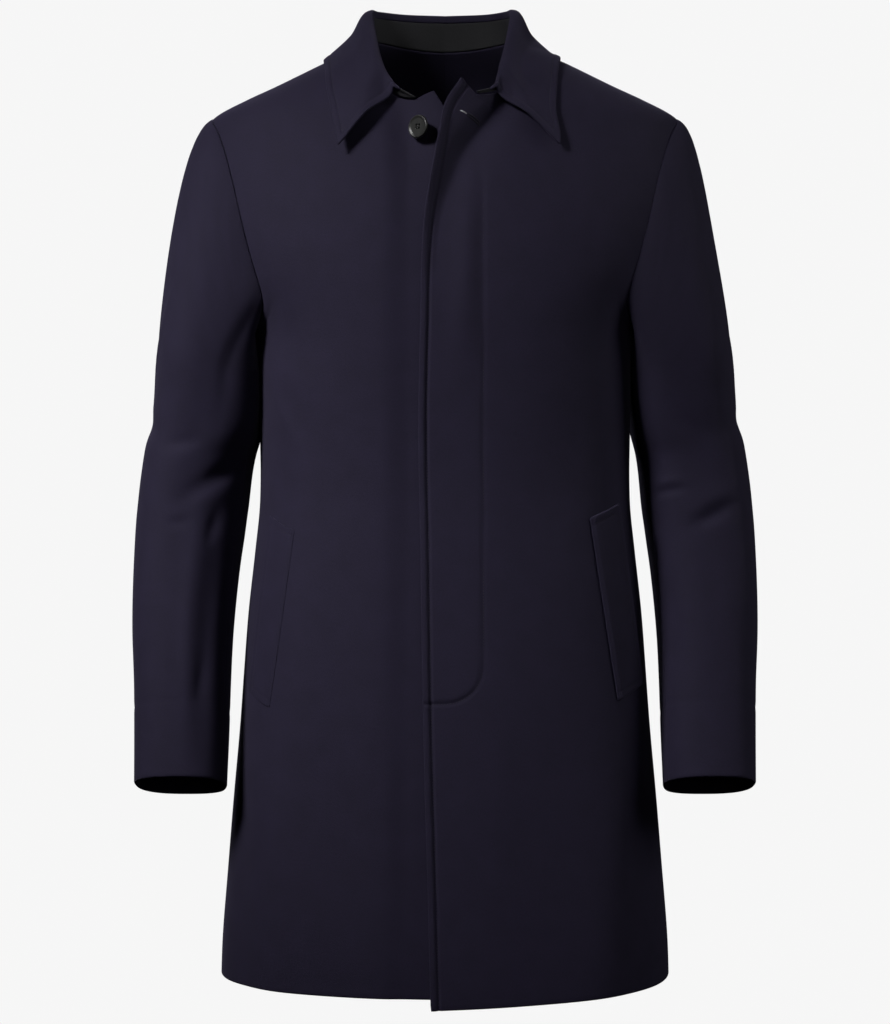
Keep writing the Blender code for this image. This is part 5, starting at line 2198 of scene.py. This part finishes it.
@dataclass(frozen=True)
class NeckButton:
    """Four-hole button that hangs upright on a thread shank, turned towards the wearer's right."""

    place: tuple[float, float] = (0.0192, -0.0686)
    radius: float = 0.0115
    thick: float = 0.0038
    rim: float = 0.0014
    dish: float = 0.0007
    hole: float = 0.00105
    hole_pitch: float = 0.0022
    hole_depth: float = 0.0022
    shank: float = 0.0022
    shank_length: float = 0.0078
    shank_foot: float = 0.0026
    turn: float = 38.0
    rise: float = 5.0
    seat: float = 0.0006
    sides: int = 128
    thread: float = 0.00034
    thread_turns: float = 9.0

    def axes(self, front: RightFront) -> tuple[Array, Array]:
        """Foot of the button and its three directions, sideways, up and out.

        Args:
            front: the front that carries it.

        Returns:
            The foot and the directions.
        """
        seat, normal = (Side.RIGHT.put(vector) for vector in front.face_at(*self.place))
        turn, rise = math.radians(self.turn), math.radians(self.rise)
        out = unit(np.array([-math.sin(turn), -math.cos(turn), math.tan(rise)]))
        side = unit(np.cross(np.array([0.0, 0.0, 1.0]), out))
        tilt = np.linalg.norm(np.cross(out, normal))
        foot = seat + normal * (self.seat + self.shank_foot * tilt)
        return foot, np.stack([side, np.cross(out, side), out])

    def profile(self) -> Array:
        """Radius and level from the middle of the back, round the rim, to the middle of the face.

        Returns:
            Radius and level of each point.
        """
        low, top = self.shank_length, self.shank_length + self.thick
        turns = np.radians(np.linspace(-70.0, 90.0, 22))
        rim_middle = (self.radius - self.rim, low + 0.52 * self.thick)
        rim_level = rim_middle[1] + 0.48 * self.thick * np.sin(turns)
        rim = np.stack([rim_middle[0] + self.rim * np.cos(turns), rim_level], axis=-1)
        back = np.stack([np.linspace(0.0, rim[0, 0], 14)[:-1], np.full(13, low)], axis=-1)
        share = np.linspace(0.0, 1.0, 62)[1:]
        face_radius = (self.radius - self.rim) * (1.0 - share)
        face_level = top - self.dish * smooth_step(0.0, 0.22, share)
        return np.concatenate([back, rim, np.stack([face_radius, face_level], axis=-1)])

    def build(self, front: RightFront, material: Material) -> Piece:
        """Makes the button: a profile turned about its axis, with four holes pushed into its face.

        Args:
            front: the front that carries it.
            material: its material.

        Returns:
            The piece.
        """
        foot, axes = self.axes(front)
        profile = self.profile()[1:-1]
        turns = np.arange(self.sides) * 2.0 * math.pi / self.sides
        across = profile[:, :1] * np.cos(turns)
        along = profile[:, :1] * np.sin(turns)
        level = profile[:, 1:] + 0.0 * across
        on_face = smooth_step(0.5, 0.7, np.linspace(0.0, 1.0, len(profile)))[:, None]
        for number in range(4):
            turn = math.pi / 4.0 + number * math.pi / 2.0
            middle = (self.hole_pitch * math.cos(turn), self.hole_pitch * math.sin(turn))
            reach = np.hypot(across - middle[0], along - middle[1])
            level = level - on_face * self.hole_depth * smooth_step(self.hole * 1.12, self.hole * 0.80, reach)
        local = np.stack([across, along, level], axis=-1).reshape(-1, 3)
        poles = np.array([[0.0, 0.0, self.shank_length], [0.0, 0.0, profile[-1, 1]]])
        points = foot + np.concatenate([local, poles]) @ axes
        rings = np.arange(len(local)).reshape(len(profile), self.sides)
        ahead = np.roll(rings, -1, axis=1)
        bottom = np.stack([ahead[0], rings[0], np.full(self.sides, len(local))], axis=-1)
        top = np.stack([rings[-1], ahead[-1], np.full(self.sides, len(local) + 1)], axis=-1)
        faces = np.concatenate([ring_triangles(rings), bottom, top])
        piece = add_mesh("neck_button", points, faces)
        return dress(piece, material, "button_neck")

    def build_thread(self, front: RightFront, material: Material) -> Piece:
        """Makes the thread: two bars through the holes, and a wound shank below.

        Args:
            front: the front that carries it.
            material: its material.

        Returns:
            The piece.
        """
        foot, axes = self.axes(front)
        level = self.shank_length + self.thick - self.dish - 0.00025
        reach = self.hole_pitch * math.sqrt(0.5)
        starts, ends = [], []
        for side in (-1.0, 1.0):
            for shift in (-0.00028, 0.00028):
                starts.append((side * reach + shift, -reach, level))
                ends.append((side * reach + shift, reach, level))
        ends_of_bars = [foot + np.array(rows) @ axes for rows in (starts, ends)]
        bars = capsules(*ends_of_bars, np.tile(axes[2], (4, 1)), self.thread)
        turns = np.linspace(0.0, 2.0 * math.pi * self.thread_turns, 400)
        levels = self.shank_length * np.linspace(0.02, 0.97, 400)
        helix = np.stack([self.shank * np.cos(turns), self.shank * np.sin(turns), levels], axis=-1)
        helix = foot + helix @ axes
        outward = unit(helix - foot - ((helix - foot) @ axes[2])[:, None] * axes[2])
        wound = capsules(helix[:-3:3], helix[3::3], outward[:-3:3], self.thread)
        return dress(add_mesh("button_thread", *joined([bars, wound])), material)


@dataclass(frozen=True)
class Buttonhole:
    """Worked buttonhole near the left front's top corner: a pale bar where it opens and purled sides."""

    inner: tuple[float, float] = (0.0142, -0.0560)
    outer: tuple[float, float] = (0.0212, -0.0578)
    length: float = 0.012
    bar: float = 0.00075
    purl: float = 0.00032
    purl_lift: float = 0.0001
    purl_reach: tuple[float, float] = (0.0003, 0.0019)
    purl_count: int = 30

    def build(self, front: LeftFront, thread: Material, pale: Material) -> None:
        """Makes the pale bar, and purl stitches on both sides of the slit.

        Args:
            front: the front that it is worked in.
            thread: material of the purl stitches.
            pale: material of the bar.
        """
        inner, outer = np.array(self.inner), np.array(self.outer)
        ends = [front.surface(place[:1], place[1:]) for place in (inner, outer)]
        bar = capsules(ends[0][0], ends[1][0], ends[0][1], self.bar)
        dress(add_mesh("buttonhole_bar", *bar), pale)
        direction = unit(outer - inner)
        aside = np.array([-direction[1], direction[0]])
        share = np.linspace(0.0, 1.0, self.purl_count)[:, None]
        line = outer + direction * 0.0006 + share * direction * self.length
        rows = []
        for sign in (-1.0, 1.0):
            sides = [front.surface(*(line + sign * aside * reach).T) for reach in self.purl_reach]
            near, far = (points + normals * self.purl_lift for points, normals in sides)
            rows.append(capsules(near, far, sides[0][1], self.purl))
        dress(add_mesh("buttonhole_purl", *joined(rows)), thread)


# Studio


@dataclass(frozen=True)
class AreaLamp:
    """Soft rectangular lamp that looks at a target."""

    name: str
    place: Place
    target: Place
    size: tuple[float, float]
    power: float
    spread: float = 180.0
    shine: bool = True

    def build(self) -> None:
        """Adds the lamp to the scene."""
        light = bpy.data.lights.new(self.name, "AREA")
        light.shape = "RECTANGLE"
        light.size, light.size_y = self.size
        light.energy = self.power
        light.spread = math.radians(self.spread)
        lamp = bpy.data.objects.new(self.name, light)
        lamp.location = self.place
        lamp.rotation_euler = (Vector(self.target) - Vector(self.place)).to_track_quat("-Z", "Y").to_euler()
        lamp.visible_camera = False
        lamp.visible_glossy = self.shine
        bpy.context.scene.collection.objects.link(lamp)


LAMPS = (
    AreaLamp("key", (-1.50, -1.40, 1.02), (-0.10, 0.0, -0.47), (0.65, 0.65), 2.55, 34.0),
    AreaLamp("fill", (2.50, -0.60, 0.90), (0.2, 0.0, -0.15), (1.2, 1.2), 6.6, 110.0),
    AreaLamp("front", (0.90, -3.10, 0.20), (0.0, 0.0, -0.40), (1.8, 1.8), 5.0),
    AreaLamp("back", (-0.80, 2.60, 1.50), (0.0, 0.0, -0.45), (1.6, 1.6), 60.0, shine=False),
)


@dataclass(frozen=True)
class Studio:
    """Pale round floor under a pale sky, soft lamps and a level camera."""

    camera_distance: float = 2.80
    camera_height: float = -0.437
    image_long_side: int = 1024
    pixel: float = 0.001
    sensor: float = 36.0
    floor: float = -1.46
    floor_radius: float = 2.40
    floor_sides: int = 96
    sky: float = 0.923

    def disc(self) -> Piece:
        """Floor: rings of growing radius about the coat's axis, closed by a fan in the middle.

        Returns:
            The floor.
        """
        turns = np.arange(self.floor_sides) * 2.0 * math.pi / self.floor_sides
        radii = np.array([0.6, 1.2, 1.8, self.floor_radius])[:, None]
        circles = (radii * np.cos(turns), radii * np.sin(turns), self.floor)
        corners = np.stack(np.broadcast_arrays(*circles), axis=-1).reshape(-1, 3)
        points = np.concatenate([corners, [[0.0, 0.0, self.floor]]])
        rings = np.arange(len(corners)).reshape(-1, self.floor_sides)
        fan = np.stack([rings[0], np.roll(rings[0], -1), np.full(self.floor_sides, len(corners))], axis=-1)
        return add_mesh("floor", points, np.concatenate([ring_triangles(rings)[:, ::-1], fan]))

    def build(self) -> None:
        """Adds floor, lamps, sky and camera."""
        scene = bpy.context.scene
        floor = self.disc()
        floor.data.materials.append(FloorFinish().make())
        floor.visible_diffuse = False
        floor.visible_glossy = False
        for lamp in LAMPS:
            lamp.build()
        self.build_sky(scene)
        data = bpy.data.cameras.new("camera")
        data.sensor_width = self.sensor
        data.lens = self.sensor * self.camera_distance / (self.image_long_side * self.pixel)
        data.clip_end = 50.0
        camera = bpy.data.objects.new("camera", data)
        camera.location = (0.0, -self.camera_distance, self.camera_height)
        camera.rotation_euler = (math.pi / 2.0, 0.0, 0.0)
        scene.collection.objects.link(camera)
        scene.camera = camera
        scene.view_settings.view_transform = "Standard"

    def build_sky(self, scene: bpy.types.Scene) -> None:
        """Adds a plain pale sky that is seen but lights nothing, so that the lamps alone shade the cloth.

        Args:
            scene: the scene.
        """
        world = bpy.data.worlds.new("studio")
        world.use_nodes = True
        sky = world.node_tree.nodes["Background"]
        sky.inputs["Color"].default_value = (self.sky, self.sky, self.sky, 1.0)
        world.cycles_visibility.diffuse = False
        world.cycles_visibility.glossy = False
        scene.world = world


@dataclass
class Coat:
    """The whole coat: its panels, sleeves, collar, pockets, button and stitches."""

    right_corner: float = -0.0322
    right_hem: float = -0.8990

    def __post_init__(self) -> None:
        """Makes the two fronts, the right one under the left one."""
        self.left = LeftFront(Side.LEFT, Face.FRONT)
        sizes = {"corner": self.right_corner, "hem": self.right_hem, "edge_rows": RIGHT_EDGE}
        self.right = RightFront(Side.RIGHT, Face.FRONT, over=self.left, **sizes)

    def build(self) -> None:
        """Makes every piece in order."""
        wool = WoolFinish("navy_wool", (0.0116, 0.0091, 0.0224), (0.0246, 0.0196, 0.0480)).make()
        grey = ((0.0150, 0.0150, 0.0165), (0.0290, 0.0290, 0.0310))
        charcoal = WoolFinish("charcoal_cloth", *grey, sheen=0.12).make()
        thread = ThreadFinish("navy_thread", (0.010, 0.009, 0.018), (0.024, 0.021, 0.036)).make()
        dark = ThreadFinish("charcoal_thread", (0.008, 0.008, 0.008), (0.020, 0.020, 0.020)).make()
        pale = ThreadFinish("pale_thread", (0.34, 0.34, 0.36), (0.62, 0.62, 0.64)).make()
        self.left.build(wool, Cut(0.325, 0.965, 0.262))
        self.right.build(wool, Cut(0.325, 0.955, 0.262))
        for side in Side:
            BackPanel(side, Face.BACK).build(wool, Cut(0.275, 0.960, 0.242))
            sleeve = Sleeve(side)
            sleeve.build(False, wool, Cut(0.205, 0.665, 0.097))
            sleeve.build(True, wool, Cut(0.245, 0.630, 0.128))
        collar = Collar(self.left, self.right)
        collar.build_stand(charcoal)
        collar.build_leaf(wool)
        flat = {"thick": 0.0012, "seat": 0.0003, "free_lift": 0.0}
        welts = (
            (Welt(Side.LEFT, (0.1398, -0.4437), (0.1660, -0.6177)), self.left),
            (Welt(Side.RIGHT, (0.1455, -0.4550), (0.1690, -0.6255), **flat), self.right),
        )
        for welt, front in welts:
            welt.build(front, wool, Cut(0.050, 0.195, 0.0079, Hold.LAID))
        button = NeckButton()
        button.build(self.right, HornFinish().make())
        button.build_thread(self.right, dark)
        Buttonhole().build(self.left, thread, pale)
        StitchRow("stitches_front").build(self.left.stitch_paths(), thread)
        StitchRow("stitches_collar").build(collar.stitch_paths(), thread)
        welt_paths = [path for welt, front in welts for path in welt.stitch_paths(front)]
        StitchRow("stitches_welts").build(welt_paths, thread)


def main() -> None:
    """Builds the coat and its studio."""
    logging.basicConfig(level=logging.INFO, format="%(message)s")
    Coat().build()
    Studio().build()


if __name__ == "__main__":
    main()
